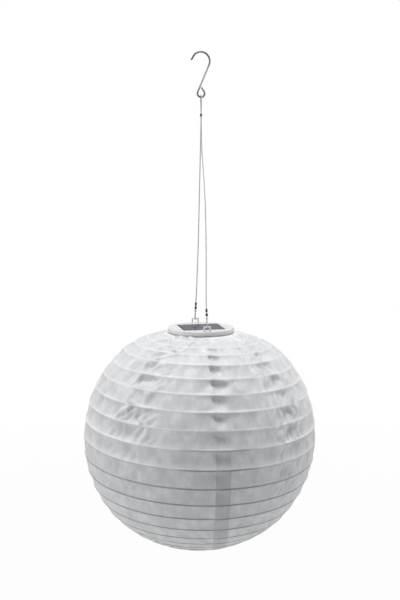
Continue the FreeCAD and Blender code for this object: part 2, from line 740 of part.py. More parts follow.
# Housing: a tub with a flange, clips for the top hoop, a battery bay, board posts and its openings
def make_housing():
    body = new_body("cap_housing", "-cap_drop_height")
    flange, wall = "cap_radius-housing_flange_inset", "housing_radius"
    inside = "housing_inside_radius"
    under_flange = "-cap_skirt_height-housing_flange_height"
    revolve(body, [
        ("0", "underside_level"), (wall + "-housing_edge_width", "underside_level"),
        (wall, "underside_level+housing_edge_width"), (wall, under_flange), (flange, under_flange),
        (flange, "-cap_skirt_height"), (inside, "-cap_skirt_height"),
        (inside, "floor_level"), ("0", "floor_level"),
    ])
    bay = new_sketch(body, "XY_Plane", "floor_level")
    half = "bay_half_length+bay_wall_thickness/2"
    for x in (half, "-(%s)" % half):
        add_rectangle(bay, x, "battery_offset", "bay_wall_thickness", "contact_width")
    pad(body, bay, "bay_wall_height")
    posts = new_sketch(body, "XY_Plane", "floor_level")
    for x in ("board_length/2-post_inset_distance", "-board_length/2+post_inset_distance"):
        for y in ("board_width/2-post_inset_distance", "-board_width/2+post_inset_distance"):
            add_round(posts, x, "-board_offset+" + y, "post_diameter/2")
    pad(body, posts, "board_height")
    boss = new_sketch(body, "XY_Plane", "floor_level")
    add_round(boss, "0", "door_ear_out", "boss_diameter/2")
    pad(body, boss, "door_boss_height")
    openings = new_sketch(body, "XY_Plane", "underside_level")
    add_rectangle(openings, "0", "battery_offset", "bay_half_length*2", "door_width")
    add_round(openings, "0", "-lamp_offset", "lamp_diameter/2+screw_hole_gap*2")
    across = "slider_stem_width+switch_gap*2"
    add_rectangle(openings, "0", "-switch_offset", across + "+switch_travel_length", across)
    for x, y in BOSS_PLACES:
        add_round(openings, x, y, "screw_diameter/2+screw_hole_gap")
    pocket(body, openings, "housing_wall_thickness", upwards=True)
    tapped = new_sketch(body, "XY_Plane", "underside_level")
    add_round(tapped, "0", "door_ear_out", "screw_diameter/2")
    pocket(body, tapped, "door_screw_length", upwards=True)
    clip = new_sketch(body, "YZ_Plane")
    foot_top = "hoop_seat_level-hoop_wire_diameter/2-seat_gap"
    start, end = wall + "-housing_wall_thickness/2", "top_hoop_radius+hoop_wire_diameter/2+clip_reach_length"
    add_outline(clip, [
        (start, under_flange), (wall + "+clip_thickness", under_flange), (wall + "+clip_thickness", foot_top),
        (end, foot_top), (end, "(%s)-clip_thickness" % foot_top), (start, "(%s)-clip_thickness" % foot_top),
    ])
    added = pad(body, clip, "clip_width", centred=True)
    doc.recompute()
    around = body.newObject("PartDesign::PolarPattern", "Clips")
    around.Originals = [added]
    flat = [item for item in body.Origin.OriginFeatures if item.Role == "Z_Axis"][0]
    around.Axis = (flat, [""])
    around.Angle = 360
    around.Occurrences = CLIPS
    body.Tip = around


def make_battery_bay():
    """The cell, its two leaf contacts and the door."""
    low, high = "-battery_length/2-battery_nub_height/2", "battery_length/2-battery_nub_height/2"
    narrow, wide = "battery_diameter/2-battery_edge_width", "battery_diameter/2"
    nub, tip = "battery_nub_diameter/2", high + "+battery_nub_height"
    body = set_shape("battery", turned([
        (narrow, low), (wide, low + "+battery_edge_width"),
        (wide, high + "-battery_edge_width"), (narrow, high),
        (nub, high), (nub, tip),
    ], DOME_SIDES, closed=False))
    body.Placement = Placement(Vector(), Rotation(Vector(0, 1, 0), 90))
    bind(body, Placement__Base__y="battery_offset",
         Placement__Base__z="-cap_drop_height+floor_level+battery_gap+battery_diameter/2")

    for label, sign in (("battery_contact_negative", "-"), ("battery_contact_positive", "")):
        leaf = new_body(label, "-cap_drop_height", "battery_offset")
        sketch = new_sketch(leaf, "XZ_Plane")
        back, foot, head = "bay_half_length-seat_gap", "floor_level+seat_gap", "floor_level+contact_height"
        front = back + "-contact_thickness"
        bulge = (front + "-contact_bulge_depth", "(%s)/2+(%s)/2" % (foot, head))
        profile = [(back, foot), (back, head), (front, head), bulge, (front, foot)]
        add_outline(sketch, [("%s(%s)" % (sign, x), z) for x, z in profile])
        pad(leaf, sketch, "contact_width", centred=True)

    door = new_body("battery_door", "-cap_drop_height")
    plug = new_sketch(door, "XY_Plane", "underside_level")
    add_rectangle(plug, "0", "battery_offset", "bay_half_length*2-door_gap*2", "door_width-door_gap*2")
    pad(door, plug, "housing_wall_thickness-seat_gap")
    lip = new_sketch(door, "XY_Plane", "underside_level")
    long, wide = "bay_half_length*2+door_lip_width*2", "door_width+door_lip_width*2"
    add_rectangle(lip, "0", "battery_offset", long, wide)
    pad(door, lip, "door_plate_thickness", downwards=True)
    ear = new_sketch(door, "XY_Plane", "underside_level")
    add_round(ear, "0", "door_ear_out", "door_ear_radius")
    pad(door, ear, "door_plate_thickness", downwards=True)
    screw_way = new_sketch(door, "XY_Plane", "underside_level-door_plate_thickness")
    add_round(screw_way, "0", "door_ear_out", "screw_diameter/2+screw_hole_gap")
    pocket(door, screw_way, "door_plate_thickness", upwards=True)


def one_screw(x, y, level, length):
    """The head and shank of a screw driven up from a level of the cap."""
    place = {"Placement__Base__x": x, "Placement__Base__y": y}
    seat = "-cap_drop_height+(%s)" % level
    head = prism("screw_head_diameter/2", "screw_head_height", seat + "-screw_head_height", **place)
    return [head, prism("screw_diameter/2", length, seat, **place)]


def make_screws():
    """Three screws up into the cover's bosses, and one that holds the battery door."""
    parts = []
    for x, y in BOSS_PLACES:
        parts += one_screw(x, y, "underside_level", "screw_length")
    keep("housing_screws", fuse(*parts))
    under_door = "underside_level-door_plate_thickness"
    keep("door_screw", fuse(*one_screw("0", "door_ear_out", under_door, "door_screw_length")))


def make_electronics():
    """The circuit board, the lamp on its legs, the lens and the slide switch."""
    board = new_body("circuit_board", "-cap_drop_height")
    outline = new_sketch(board, "XY_Plane", "floor_level+board_height")
    add_rectangle(outline, "0", "-board_offset", "board_length", "board_width")
    pad(board, outline, "board_thickness")

    tip = "underside_level-lamp_stand_out_height"
    rim = "(%s)+lamp_length" % tip
    collar = "(%s)-lamp_rim_height" % rim
    bead = "lamp_diameter/2"
    dome = plain_feature("lamp_bead", turned([
        (bead + "*sin(45deg)", tip), (bead, "(%s)+%s*(1-cos(45deg))" % (tip, bead)), (bead, collar),
        (bead + "+lamp_rim_width", collar), (bead + "+lamp_rim_width", rim),
    ], closed=False))
    leg = {"Length": "lamp_leg_width", "Width": "lamp_leg_width", "Height": "floor_level+board_height-(%s)" % rim}
    legs = [primitive(
        "Box", Placement__Base__x="%slamp_leg_spacing/2-lamp_leg_width/2" % sign,
        Placement__Base__y="-lamp_leg_width/2", Placement__Base__z=rim, **leg) for sign in ("", "-")]
    whole = keep("lamp", fuse(dome, *legs))
    bind(whole, Placement__Base__z="-cap_drop_height", Placement__Base__y="-lamp_offset")

    def dome_rings(radius):
        """Rings of a half ball below the housing, from its rim down to its small flat."""
        return [("(%s)*cos(%d*1deg)" % (radius, angle), "underside_level-(%s)*sin(%d*1deg)" % (radius, angle))
                for angle in LENS_ANGLES]

    rings = dome_rings("lens_radius") + dome_rings("lens_radius-lens_wall_thickness")[::-1]
    lens = set_shape("lamp_lens", flat_sided([
        ring_points(number_of(radius), number_of(height), DOME_SIDES) for radius, height in rings], True))
    bind(lens, Placement__Base__z="-cap_drop_height", Placement__Base__y="-lamp_offset")

    case = new_body("switch_body", "-cap_drop_height", "-switch_offset")
    block = new_sketch(case, "XY_Plane", "floor_level")
    add_rectangle(block, "0", "0", "switch_length", "switch_width")
    pad(case, block, "switch_height")
    room = new_sketch(case, "XY_Plane", "floor_level")
    long, wide = "switch_length-switch_wall_thickness*2", "switch_width-switch_wall_thickness*2"
    add_rectangle(room, "0", "0", long, wide)
    pocket(case, room, "slider_plate_thickness+switch_gap*2", upwards=True)

    slider = new_body("switch_slider", "-cap_drop_height", "-switch_offset")
    bind(slider, Placement__Base__x="-switch_travel_length/2")
    plate = new_sketch(slider, "XY_Plane", "floor_level+switch_gap")
    add_rectangle(plate, "0", "0", "slider_length", "switch_width-switch_wall_thickness*2-switch_gap*2")
    pad(slider, plate, "slider_plate_thickness")
    stem = new_sketch(slider, "XY_Plane", "underside_level-slider_stand_out_height")
    add_rectangle(stem, "0", "0", "slider_stem_width", "slider_stem_width")
    pad(slider, stem, "slider_stand_out_height+housing_wall_thickness+switch_gap")


def hoop_level(step):
    """Height of a hoop's centre."""
    return "-cap_drop_height+hoop_seat_level" if step == STEPS[0] else "shade_level+" + hoop_height(step)


def hoop_turn(step):
    """The tilt about Y that all but the top hoop have, in degrees."""
    return "0" if step == STEPS[0] else "hoop_tilt"


def hoop_shift(step):
    """How far a hoop's centre stands to the side of the top one, which leans out with the depth below it."""
    if step == STEPS[0]:
        return "0"
    return "shade_offset+(%s-(%s))*tan(shade_lean*1deg)" % (hoop_level(step), hoop_level(STEPS[0]))


def make_hoops():
    """Steel hoops with a square section and flat sides."""
    for number, step in enumerate(STEPS):
        label = "top_hoop" if number == 0 else "bottom_hoop" if step == STEPS[-1] else "hoop_%02d" % number
        middle = hoop_radius(step)
        half = "hoop_wire_diameter/2"
        outer = prism(middle + "+" + half, "hoop_wire_diameter", "-" + half, HOOP_SIDES)
        inner = prism(middle + "-" + half, "hoop_wire_diameter", "-" + half, HOOP_SIDES)
        hoop = keep(label, cut_away(outer, inner))
        hoop.Placement = Placement(Vector(), Rotation(Vector(0, 1, 0), 1))
        bind(hoop, Placement__Base__x=hoop_shift(step), Placement__Base__z=hoop_level(step),
             Placement__Rotation__Angle=hoop_turn(step))


def make_cloth():
    """The shade's cloth: a thin wall of straight bands from hoop to hoop, just outside the hoops."""
    outer, inner = [], []
    clear = "hoop_wire_diameter/2+cloth_gap"
    for wall, stand in ((outer, clear + "+cloth_thickness"), (inner, clear)):
        for step in STEPS:
            angle = math.radians(number_of(hoop_angle(step)))
            off = number_of(stand)
            ring = ring_points(number_of(hoop_radius(step)) + off * math.sin(angle), 0, HOOP_SIDES)
            turn = Rotation(Vector(0, 1, 0), number_of(hoop_turn(step)))
            centre = Vector(number_of(hoop_shift(step)), 0, number_of(hoop_level(step)) + off * math.cos(angle))
            wall.append([centre + turn.multVec(point) for point in ring])
    set_shape("shade_cloth", flat_sided(outer + inner[::-1], True))


make_hook()
make_cable()
make_ferrule()
for name, hand in (("front", -1), ("back", 1)):
    make_snap("snap_" + name, hand)
    make_leg_end(name, hand)
    make_lug("cap_lug_" + name, hand)
make_cover()
make_panel()
make_housing()
make_battery_bay()
make_screws()
make_electronics()
make_hoops()
make_cloth()

doc.recompute()
for thing in doc.Objects:
    if "Invalid" in thing.State or "Error" in thing.State:
        raise ValueError("%s did not build" % thing.Label)
for label, thing in nodes.items():
    if thing.Shape.isNull() or not thing.Shape.isValid() or thing.Shape.Volume <= 0:
        raise ValueError("%s has no sound shape" % label)
for label, thing in nodes.items():
    thing.Shape.exportStep("parts/%s.step" % label)
print(len(nodes), "nodes written")
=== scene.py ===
"""Looks of the hanging solar lantern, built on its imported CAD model.

Metres, +Z up, the hook's bend at the origin."""

import json
import math

import bmesh
import bpy
import numpy as np
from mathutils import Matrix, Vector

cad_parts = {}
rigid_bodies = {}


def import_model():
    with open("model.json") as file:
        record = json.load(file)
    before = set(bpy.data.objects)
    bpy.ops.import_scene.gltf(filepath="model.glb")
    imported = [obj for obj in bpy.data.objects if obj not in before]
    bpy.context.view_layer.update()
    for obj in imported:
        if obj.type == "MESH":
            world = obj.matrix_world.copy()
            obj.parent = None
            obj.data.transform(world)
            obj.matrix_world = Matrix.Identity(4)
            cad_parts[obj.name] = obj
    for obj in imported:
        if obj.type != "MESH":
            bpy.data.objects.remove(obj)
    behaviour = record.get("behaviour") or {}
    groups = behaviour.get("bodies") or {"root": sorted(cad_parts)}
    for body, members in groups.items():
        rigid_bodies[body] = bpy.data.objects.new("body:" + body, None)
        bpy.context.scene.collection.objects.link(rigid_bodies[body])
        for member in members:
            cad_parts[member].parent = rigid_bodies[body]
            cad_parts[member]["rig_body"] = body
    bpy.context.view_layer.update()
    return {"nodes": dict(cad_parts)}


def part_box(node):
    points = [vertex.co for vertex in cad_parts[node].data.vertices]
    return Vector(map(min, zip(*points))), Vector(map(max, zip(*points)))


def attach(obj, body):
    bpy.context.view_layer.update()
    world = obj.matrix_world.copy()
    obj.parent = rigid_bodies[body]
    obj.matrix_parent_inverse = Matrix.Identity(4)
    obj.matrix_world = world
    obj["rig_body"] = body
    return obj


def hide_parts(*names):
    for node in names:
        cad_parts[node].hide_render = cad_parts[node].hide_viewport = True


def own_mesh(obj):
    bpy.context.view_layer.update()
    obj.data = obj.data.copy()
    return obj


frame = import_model()
MM = 0.001
X = np.array([1.0, 0.0, 0.0])
Y = np.array([0.0, 1.0, 0.0])
Z = np.array([0.0, 0.0, 1.0])
FULL_TURN = 2 * math.pi


def add_object(name, data):
    """A new object of the scene."""
    thing = bpy.data.objects.new(name, data)
    bpy.context.scene.collection.objects.link(thing)
    return thing


# Curves of numbers
def smooth(t):
    """A step from 0 to 1 that starts and ends level: three squares less two cubes."""
    t = np.clip(t, 0, 1)
    return t * t * (3 - 2 * t)


def bell(distance, width):
    """The bell curve: e to the power of minus the square of the distance over the width."""
    return np.exp(-(distance / width) ** 2)


def rounded_power(values, power):
    """The values' sizes to a power, with their signs kept."""
    return np.sign(values) * np.abs(values) ** power


# Camera, at the photograph's place: angles in degrees, lens and picture in pixels
CAMERA_SIDE = -12.0
CAMERA_DOWN = 7.0
CAMERA_TURN = 0.075
CAMERA_HEIGHT = -0.1917
SENSOR = 36.0
FOCAL_LENGTH = 768
PHOTO_HEIGHT = 600


def make_camera():
    """A camera one metre from the lantern's axis, which looks down a little and slightly past the axis."""
    data = bpy.data.cameras.new("camera")
    data.lens = SENSOR * FOCAL_LENGTH / PHOTO_HEIGHT
    data.sensor_width = SENSOR
    camera = add_object("camera", data)
    side = math.radians(CAMERA_SIDE)
    camera.location = (math.sin(side), -math.cos(side), CAMERA_HEIGHT)
    camera.rotation_euler = (math.radians(90 - CAMERA_DOWN), 0, math.radians(CAMERA_SIDE + CAMERA_TURN))
    bpy.context.scene.camera = camera


make_camera()


# Surfaces
def corners_of(values):
    """The values at the four corners of each cell of a grid, in order round the cell."""
    return np.stack([values[:-1, :-1], values[:-1, 1:], values[1:, 1:], values[1:, :-1]], 2)


def surface(grid, ring_rows=False, ends=True, uv=None):
    """Points, faces and texture places of a grid whose columns close to a ring.

    Each four neighbours are a face, and a ring of rows joins the last row to the first. Ends close the first
    and the last row. A closed form is turned so that its enclosed volume counts as positive."""
    rows, columns = grid.shape[:2]
    index = np.arange(rows * columns).reshape(rows, columns)
    wide = np.concatenate([index, index[:, :1]], 1)
    wide = np.concatenate([wide, wide[:1]], 0) if ring_rows else wide
    quads = corners_of(wide).reshape(-1, 4)
    points = grid.reshape(-1, 3)
    a, b, c, d = (points[quads[:, k]] - points.mean(0) for k in range(4))
    volume = (np.einsum("ij,ij->i", a, np.cross(b, c)) + np.einsum("ij,ij->i", a, np.cross(c, d))).sum()
    faces = quads.tolist()
    if ends and not ring_rows:
        faces += [index[0, ::-1].tolist(), index[-1].tolist()]
    places = []
    if uv is not None:
        places += list(corners_of(uv).reshape(-1, 4, 2))
        places += [np.zeros((len(face), 2)) for face in faces[len(quads):]]
    if volume < 0:
        faces = [face[::-1] for face in faces]
        places = [place[::-1] for place in places]
    return points, faces, places


def dressed(thing, finish, sharp, body, node):
    """An object with its finish and smooth faces, whose edges are sharp past an angle.

    It rides on its body and stands for the CAD node that it replaces."""
    mesh = thing.data
    mesh.materials.clear()
    mesh.materials.append(finish)
    mesh.polygons.foreach_set("material_index", [0] * len(mesh.polygons))
    mesh.polygons.foreach_set("use_smooth", [True] * len(mesh.polygons))
    mesh.set_sharp_from_angle(angle=math.radians(sharp))
    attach(thing, body)
    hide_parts(node)
    return thing


def add_places(mesh, name, places):
    """A texture layer from one pair of values for each corner of each face."""
    layer = mesh.uv_layers.new(name=name)
    layer.data.foreach_set("uv", places.astype(np.float32).ravel())


def piece(name, surfaces, finish, body, node, sharp=38.0):
    """One dressed object from one or more surfaces, whose texture places become its weave layer."""
    surfaces = [surfaces] if isinstance(surfaces, tuple) else surfaces
    points, faces, places = [], [], []
    for some_points, some_faces, some_places in surfaces:
        first = sum(len(part) for part in points)
        points.append(some_points)
        faces += [[i + first for i in face] for face in some_faces]
        places += some_places
    mesh = bpy.data.meshes.new(name)
    mesh.from_pydata(np.concatenate(points).tolist(), [], faces)
    if places:
        add_places(mesh, "weave", np.concatenate(places))
    return dressed(add_object(name, mesh), finish, sharp, body, node)


def moulded(node, finish, edge, steps):
    """A merged copy of a CAD node whose flat faces are joined and whose edges are rounded by a bevel."""
    source = frame["nodes"][node]
    form = bmesh.new()
    form.from_mesh(source.data)
    bmesh.ops.remove_doubles(form, verts=form.verts, dist=1e-6)
    bmesh.ops.dissolve_limit(form, angle_limit=math.radians(0.4), verts=form.verts, edges=form.edges)
    mesh = bpy.data.meshes.new(node + "_moulded")
    form.to_mesh(mesh)
    form.free()
    thing = add_object(node + "_moulded", mesh)
    bevel = thing.modifiers.new("edges", "BEVEL")
    bevel.width = edge
    bevel.segments = steps
    bevel.limit_method = "ANGLE"
    bevel.angle_limit = math.radians(30)
    bevel.use_clamp_overlap = True
    weighted = thing.modifiers.new("shading", "WEIGHTED_NORMAL")
    weighted.keep_sharp = True
    return dressed(thing, finish, 50, source["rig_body"], node)


def arc(centre, across, up, radius, start, end, count):
    """Points on a circle: centre plus radius times cosine across and sine up, from start to end angle."""
    turn = np.linspace(start, end, count)[:, None]
    return centre + radius * (np.cos(turn) * across + np.sin(turn) * up)


def length_of(path):
    return np.linalg.norm(np.diff(path, axis=0), axis=1).sum()


def resampled(path, places):
    """Points of a path at given distances along it."""
    steps = np.linalg.norm(np.diff(path, axis=0), axis=1)
    along = np.concatenate([[0], np.cumsum(steps)])
    return np.stack([np.interp(places, along, path[:, k]) for k in range(3)], 1)


def along_path(path, sides, radius, across, closed=False):
    """A ring of points round each point of a path.

    Each stands off by the radius times the cosine of its angle to one side, and times the sine to the other.
    The first side is the given direction, made square to the path. The radius is a number, or there is one
    for each ring or for each of its points."""
    ahead = np.roll(path, -1, 0) - np.roll(path, 1, 0)
    if not closed:
        ahead[0], ahead[-1] = path[1] - path[0], path[-1] - path[-2]
    ahead /= np.linalg.norm(ahead, axis=1)[:, None]
    one = across - (ahead @ across)[:, None] * ahead
    one /= np.linalg.norm(one, axis=1)[:, None]
    other = np.cross(ahead, one)
    turn = np.linspace(0, FULL_TURN, sides, endpoint=False)
    radius = np.asarray(radius, float)
    radius = radius[:, None] if radius.ndim == 1 else radius
    radius = np.broadcast_to(radius, (len(path), sides))
    spread = np.cos(turn)[None, :, None] * one[:, None] + np.sin(turn)[None, :, None] * other[:, None]
    return path[:, None] + radius[:, :, None] * spread


def wire(path, radius, across, sides, step):
    """A round wire along an open path, its ends rounded over as a quarter circle."""
    whole = length_of(path)
    end = radius * np.array([0, 0.08, 0.25, 0.5, 0.8])
    places = np.concatenate([end, np.linspace(radius, whole - radius, int(whole / step)), whole - end[::-1]])
    inside = np.clip(np.minimum(places, whole - places) / radius, 0, 1)
    thickness = radius * np.sqrt(np.clip(1 - (1 - inside) ** 2, 0.08, 1))
    return surface(along_path(resampled(path, places), sides, thickness, across))


def closed_wire(ring, radius, across, sides):
    """A round wire along a closed path."""
    return surface(along_path(ring, sides, radius, across, closed=True), ring_rows=True)


def eased(corners, radius):
    """A line whose corners are rounded.

    Each becomes the curve that leaves one side and joins the next, weighted by the squares and the product
    of the share along it and its rest."""
    corners = np.asarray(corners, float)
    before, here, after = corners[:-2], corners[1:-1], corners[2:]
    back, ahead = before - here, after - here
    back_length, ahead_length = (np.linalg.norm(side, axis=1)[:, None] for side in (back, ahead))
    reach = np.minimum(radius, 0.48 * np.minimum(back_length, ahead_length))
    start = here + back / back_length * reach
    stop = here + ahead / ahead_length * reach
    t = np.linspace(0, 1, 5)[None, :, None]
    curve = (1 - t) ** 2 * start[:, None] + 2 * t * (1 - t) * here[:, None] + t ** 2 * stop[:, None]
    return np.concatenate([corners[:1], curve.reshape(-1, corners.shape[1]), corners[-1:]])


def turned(profile, sides, origin, up=Z, ring=False, dents=0.0):
    """A form of turning: each pair of radius and height goes round an axis that is square to X.

    Dents draw the radius in by the cosine of twice the angle."""
    profile = np.asarray(profile, float)
    turn = np.linspace(0, FULL_TURN, sides, endpoint=False)
    draw = 1 - dents * (1 - np.cos(2 * turn)) / 2
    spread = np.cos(turn)[:, None] * X + np.sin(turn)[:, None] * np.cross(up, X)
    grid = (np.asarray(origin, float) + profile[:, None, 1:] * up
            + profile[:, None, :1] * draw[None, :, None] * spread[None])
    return surface(grid, ring_rows=ring)


# Shader nodes
def add_node(tree, kind, settings=None, **inputs):
    """A shader node whose inputs are set, or linked where the value is another node's output.

    An input goes by its name, with underscores for spaces, or by its number after an underscore."""
    node = tree.nodes.new(kind)
    for name, value in (settings or {}).items():
        setattr(node, name, value)
    for name, value in inputs.items():
        socket = node.inputs[int(name[1:])] if name[0] == "_" else node.inputs[name.replace("_", " ")]
        if isinstance(value, bpy.types.NodeSocket):
            tree.links.new(value, socket)
        else:
            socket.default_value = value
    return node


def coordinates(tree, kind="Object"):
    return tree.nodes.new("ShaderNodeTexCoord").outputs[kind]


def layer_of(tree, name):
    """The places of one of the mesh's texture layers."""
    return add_node(tree, "ShaderNodeUVMap", {"uv_map": name}).outputs[0]


def split(tree, vector):
    """The parts of a vector."""
    return add_node(tree, "ShaderNodeSeparateXYZ", Vector=vector).outputs[:]


def stretched(tree, where, factors):
    """The coordinates with each axis multiplied, so that a pattern runs long where the factor is small."""
    return add_node(tree, "ShaderNodeMapping", Vector=where, Scale=factors).outputs["Vector"]


def noise(tree, where, scale, detail=3.0, rough=0.5):
    cloud = add_node(tree, "ShaderNodeTexNoise", Vector=where, Scale=scale, Detail=detail, Roughness=rough)
    return cloud.outputs["Fac"]


def waves(tree, where, scale, direction, distortion=0.0):
    """Parallel waves across one direction."""
    return add_node(tree, "ShaderNodeTexWave", {"bands_direction": direction}, Vector=where, Scale=scale,
                    Distortion=distortion).outputs["Fac"]


def maths(tree, kind, one, other=0.0):
    return add_node(tree, "ShaderNodeMath", {"operation": kind}, _0=one, _1=other).outputs[0]


def times(tree, one, other):
    return maths(tree, "MULTIPLY", one, other)


def summed(tree, one, other):
    return maths(tree, "ADD", one, other)


def ranged(tree, value, low, high, start=0.3, stop=0.7):
    """A value carried from the range between start and stop to the one between low and high."""
    return add_node(tree, "ShaderNodeMapRange", _0=value, _1=start, _2=stop, _3=low, _4=high).outputs[0]


def blended(tree, share, one, other):
    """Two colours mixed by a share. A plain colour is its red, green and blue."""
    one, other = (part if isinstance(part, bpy.types.NodeSocket) else (*part, 1) for part in (one, other))
    return add_node(tree, "ShaderNodeMix", {"data_type": "RGBA"}, _0=share, _6=one, _7=other).outputs[2]


def relief(tree, shader, height, distance, strength=1.0):
    """Bumps on the shader from a height between 0 and 1."""
    bump = add_node(tree, "ShaderNodeBump", Height=height, Distance=distance, Strength=strength)
    tree.links.new(bump.outputs["Normal"], shader.inputs["Normal"])


def coloured(tree, shader, colour, rough):
    tree.links.new(colour, shader.inputs["Base Color"])
    tree.links.new(rough, shader.inputs["Roughness"])


def lit_through(tree, shader, share):
    """A share of the light passes through the surface, in the shader's own colour and over its bumps."""
    behind = tree.nodes.new("ShaderNodeBsdfTranslucent")
    for own, other in (("Base Color", "Color"), ("Normal", "Normal")):
        tree.links.new(shader.inputs[own].links[0].from_socket, behind.inputs[other])
    both = add_node(tree, "ShaderNodeMixShader", _0=share, _1=shader.outputs[0], _2=behind.outputs[0])
    tree.links.new(both.outputs[0], tree.nodes["Material Output"].inputs["Surface"])


# Finishes
FINISHES = {}


def new_finish(name, **plain):
    """A material named for its slot, with one Principled shader whose unlinked values are set here."""
    finish = bpy.data.materials.new(name + "_finish")
    finish["slot"] = name
    FINISHES[name] = finish
    finish.use_nodes = True
    tree = finish.node_tree
    shader = tree.nodes["Principled BSDF"]
    for key, value in plain.items():
        shader.inputs[key.replace("_", " ")].default_value = value
    return finish, tree, shader


def plastic(name, colour, shade, rough, grain, depth, specular=0.5, through=0.0):
    """Moulded plastic: a faint mottle of two tones, uneven gloss and a fine texture from the mould.

    A share of the light may pass through it."""
    finish, tree, shader = new_finish(name, Specular_IOR_Level=specular)
    where = coordinates(tree)
    cloud = noise(tree, where, 60, 4)
    coloured(tree, shader, blended(tree, ranged(tree, cloud, 0, 1), colour, shade),
             ranged(tree, noise(tree, where, 220, 5), rough - 0.05, rough + 0.07))
    relief(tree, shader, noise(tree, where, grain, 2), depth)
    if through:
        lit_through(tree, shader, through)
    return finish


def metal(name, colour, shade, rough, streak=(3000, 3000, 250)):
    """Drawn or plated metal: fine streaks along its length, darker spots and uneven gloss."""
    finish, tree, shader = new_finish(name, Metallic=1.0)
    where = coordinates(tree)
    lines = noise(tree, stretched(tree, where, streak), 1, 3)
    spots = noise(tree, where, 350, 4, 0.65)
    tone = summed(tree, times(tree, lines, 0.5), times(tree, spots, 0.5))
    coloured(tree, shader, blended(tree, ranged(tree, tone, 0, 1, 0.35, 0.65), shade, colour),
             ranged(tree, spots, rough - 0.07, rough + 0.1))
    relief(tree, shader, lines, 0.04 * MM)
    return finish


def painted(name, colour, worn, rough, wear):
    """Black paint on metal, rubbed to a lighter grey in small patches."""
    finish, tree, shader = new_finish(name, Specular_IOR_Level=0.5)
    where = coordinates(tree)
    rubbed = noise(tree, where, 900, 6, 0.7)
    coloured(tree, shader, blended(tree, ranged(tree, rubbed, 0, wear, 0.56, 0.66), colour, worn),
             ranged(tree, noise(tree, where, 500, 4), rough - 0.08, rough + 0.12))
    relief(tree, shader, noise(tree, where, 1500, 4), 0.05 * MM)
    return finish


def make_hook_steel():
    """Dark steel with a painted sheen: the hook's straight shank is painted paler than its bend and eye.

    The tone changes over a few millimetres of height."""
    finish = metal("hook_steel", (0.17, 0.17, 0.18), (0.08, 0.08, 0.085), 0.34)
    tree = finish.node_tree
    base = tree.nodes["Principled BSDF"].inputs["Base Color"]
    # Painted sheen: the straight shank, between the bend and the eye, is paler
    height = split(tree, coordinates(tree))[2]
    below_bend = ranged(tree, height, 1, 0, -20 * MM, -12 * MM)
    above_eye = ranged(tree, height, 0, 1, -50 * MM, -40 * MM)
    shank = times(tree, below_bend, above_eye)
    tree.links.new(blended(tree, shank, base.links[0].from_socket, (0.36, 0.36, 0.38)), base)
    return finish


def make_cable_coat():
    """Light grey coat over a twisted steel cable, whose strands show as slightly darker winding lines."""
    finish, tree, shader = new_finish("cable_coat", Specular_IOR_Level=0.5, Coat_Weight=0.25,
                                      Coat_Roughness=0.2)
    winding = waves(tree, stretched(tree, coordinates(tree, "UV"), (3, 260, 1)), 1.0, "DIAGONAL")
    dust = noise(tree, coordinates(tree), 240, 4)
    tone = summed(tree, times(tree, winding, 0.6), times(tree, dust, 0.4))
    coloured(tree, shader, blended(tree, tone, (0.5, 0.51, 0.52), (0.66, 0.67, 0.68)),
             ranged(tree, dust, 0.3, 0.5))
    relief(tree, shader, winding, 0.04 * MM)
    return finish


def make_panel_glass():
    """Dark solar cells under clear resin: a whole cell between two halves, in a darker border.

    Thin silver lines run along the cells. One shows where the rest of the place over the lines' pitch is less
    than its width. A gap shows where the place, folded at half a cell, is less than half the gap."""
    finish, tree, shader = new_finish("panel", Specular_IOR_Level=0.03, IOR=1.25)
    where = coordinates(tree)
    x, y = split(tree, where)[:2]
    half_length, half_width, half_cell, half_gap = 24.5 * MM, 22.8 * MM, 11.5 * MM, 0.3 * MM
    line_pitch, line_width = 2.5 * MM, 0.2 * MM
    rest = maths(tree, "ABSOLUTE", maths(tree, "MODULO", y, line_pitch))
    line = maths(tree, "LESS_THAN", rest, line_width)
    folded = maths(tree, "PINGPONG", summed(tree, y, half_cell), half_cell)
    gap = maths(tree, "LESS_THAN", folded, half_gap)
    past_x = maths(tree, "GREATER_THAN", maths(tree, "ABSOLUTE", x), half_length)
    past_y = maths(tree, "GREATER_THAN", maths(tree, "ABSOLUTE", y), half_width)
    flake = add_node(tree, "ShaderNodeTexVoronoi", Vector=where, Scale=260.0).outputs["Distance"]
    cells = blended(tree, ranged(tree, flake, 0, 1, 0.0, 0.9), (0.035, 0.034, 0.055), (0.06, 0.055, 0.085))
    cells = blended(tree, times(tree, line, 0.45), cells, (0.26, 0.26, 0.3))
    cells = blended(tree, gap, cells, (0.3, 0.3, 0.33))
    cells = blended(tree, maths(tree, "MAXIMUM", past_x, past_y), cells, (0.028, 0.026, 0.035))
    smear = noise(tree, stretched(tree, where, (60, 160, 60)), 1, 4)
    coloured(tree, shader, cells, ranged(tree, smear, 0.1, 0.2))
    relief(tree, shader, noise(tree, where, 90, 2), 0.06 * MM)
    return finish


def make_board_green():
    """Green lacquer with a faint lattice of copper tracks below it."""
    finish, tree, shader = new_finish("board", Specular_IOR_Level=0.5)
    where = coordinates(tree)
    tracks = add_node(tree, "ShaderNodeTexBrick", Vector=where, Scale=180.0, Mortar_Size=0.06).outputs["Fac"]
    coloured(tree, shader, blended(tree, tracks, (0.03, 0.16, 0.07), (0.08, 0.28, 0.12)),
             ranged(tree, noise(tree, where, 300), 0.3, 0.45))
    relief(tree, shader, tracks, 0.03 * MM)
    return finish


def make_clear(name, colour, rough, through, frost):
    """Clear or frosted plastic whose surface has a fine grain."""
    finish, tree, shader = new_finish(name, IOR=1.47, Transmission_Weight=through)
    haze = noise(tree, coordinates(tree), 700, 3)
    coloured(tree, shader, blended(tree, haze, colour, [part * 0.95 for part in colour]),
             ranged(tree, haze, rough - 0.04, rough + 0.06))
    relief(tree, shader, haze, frost)
    return finish


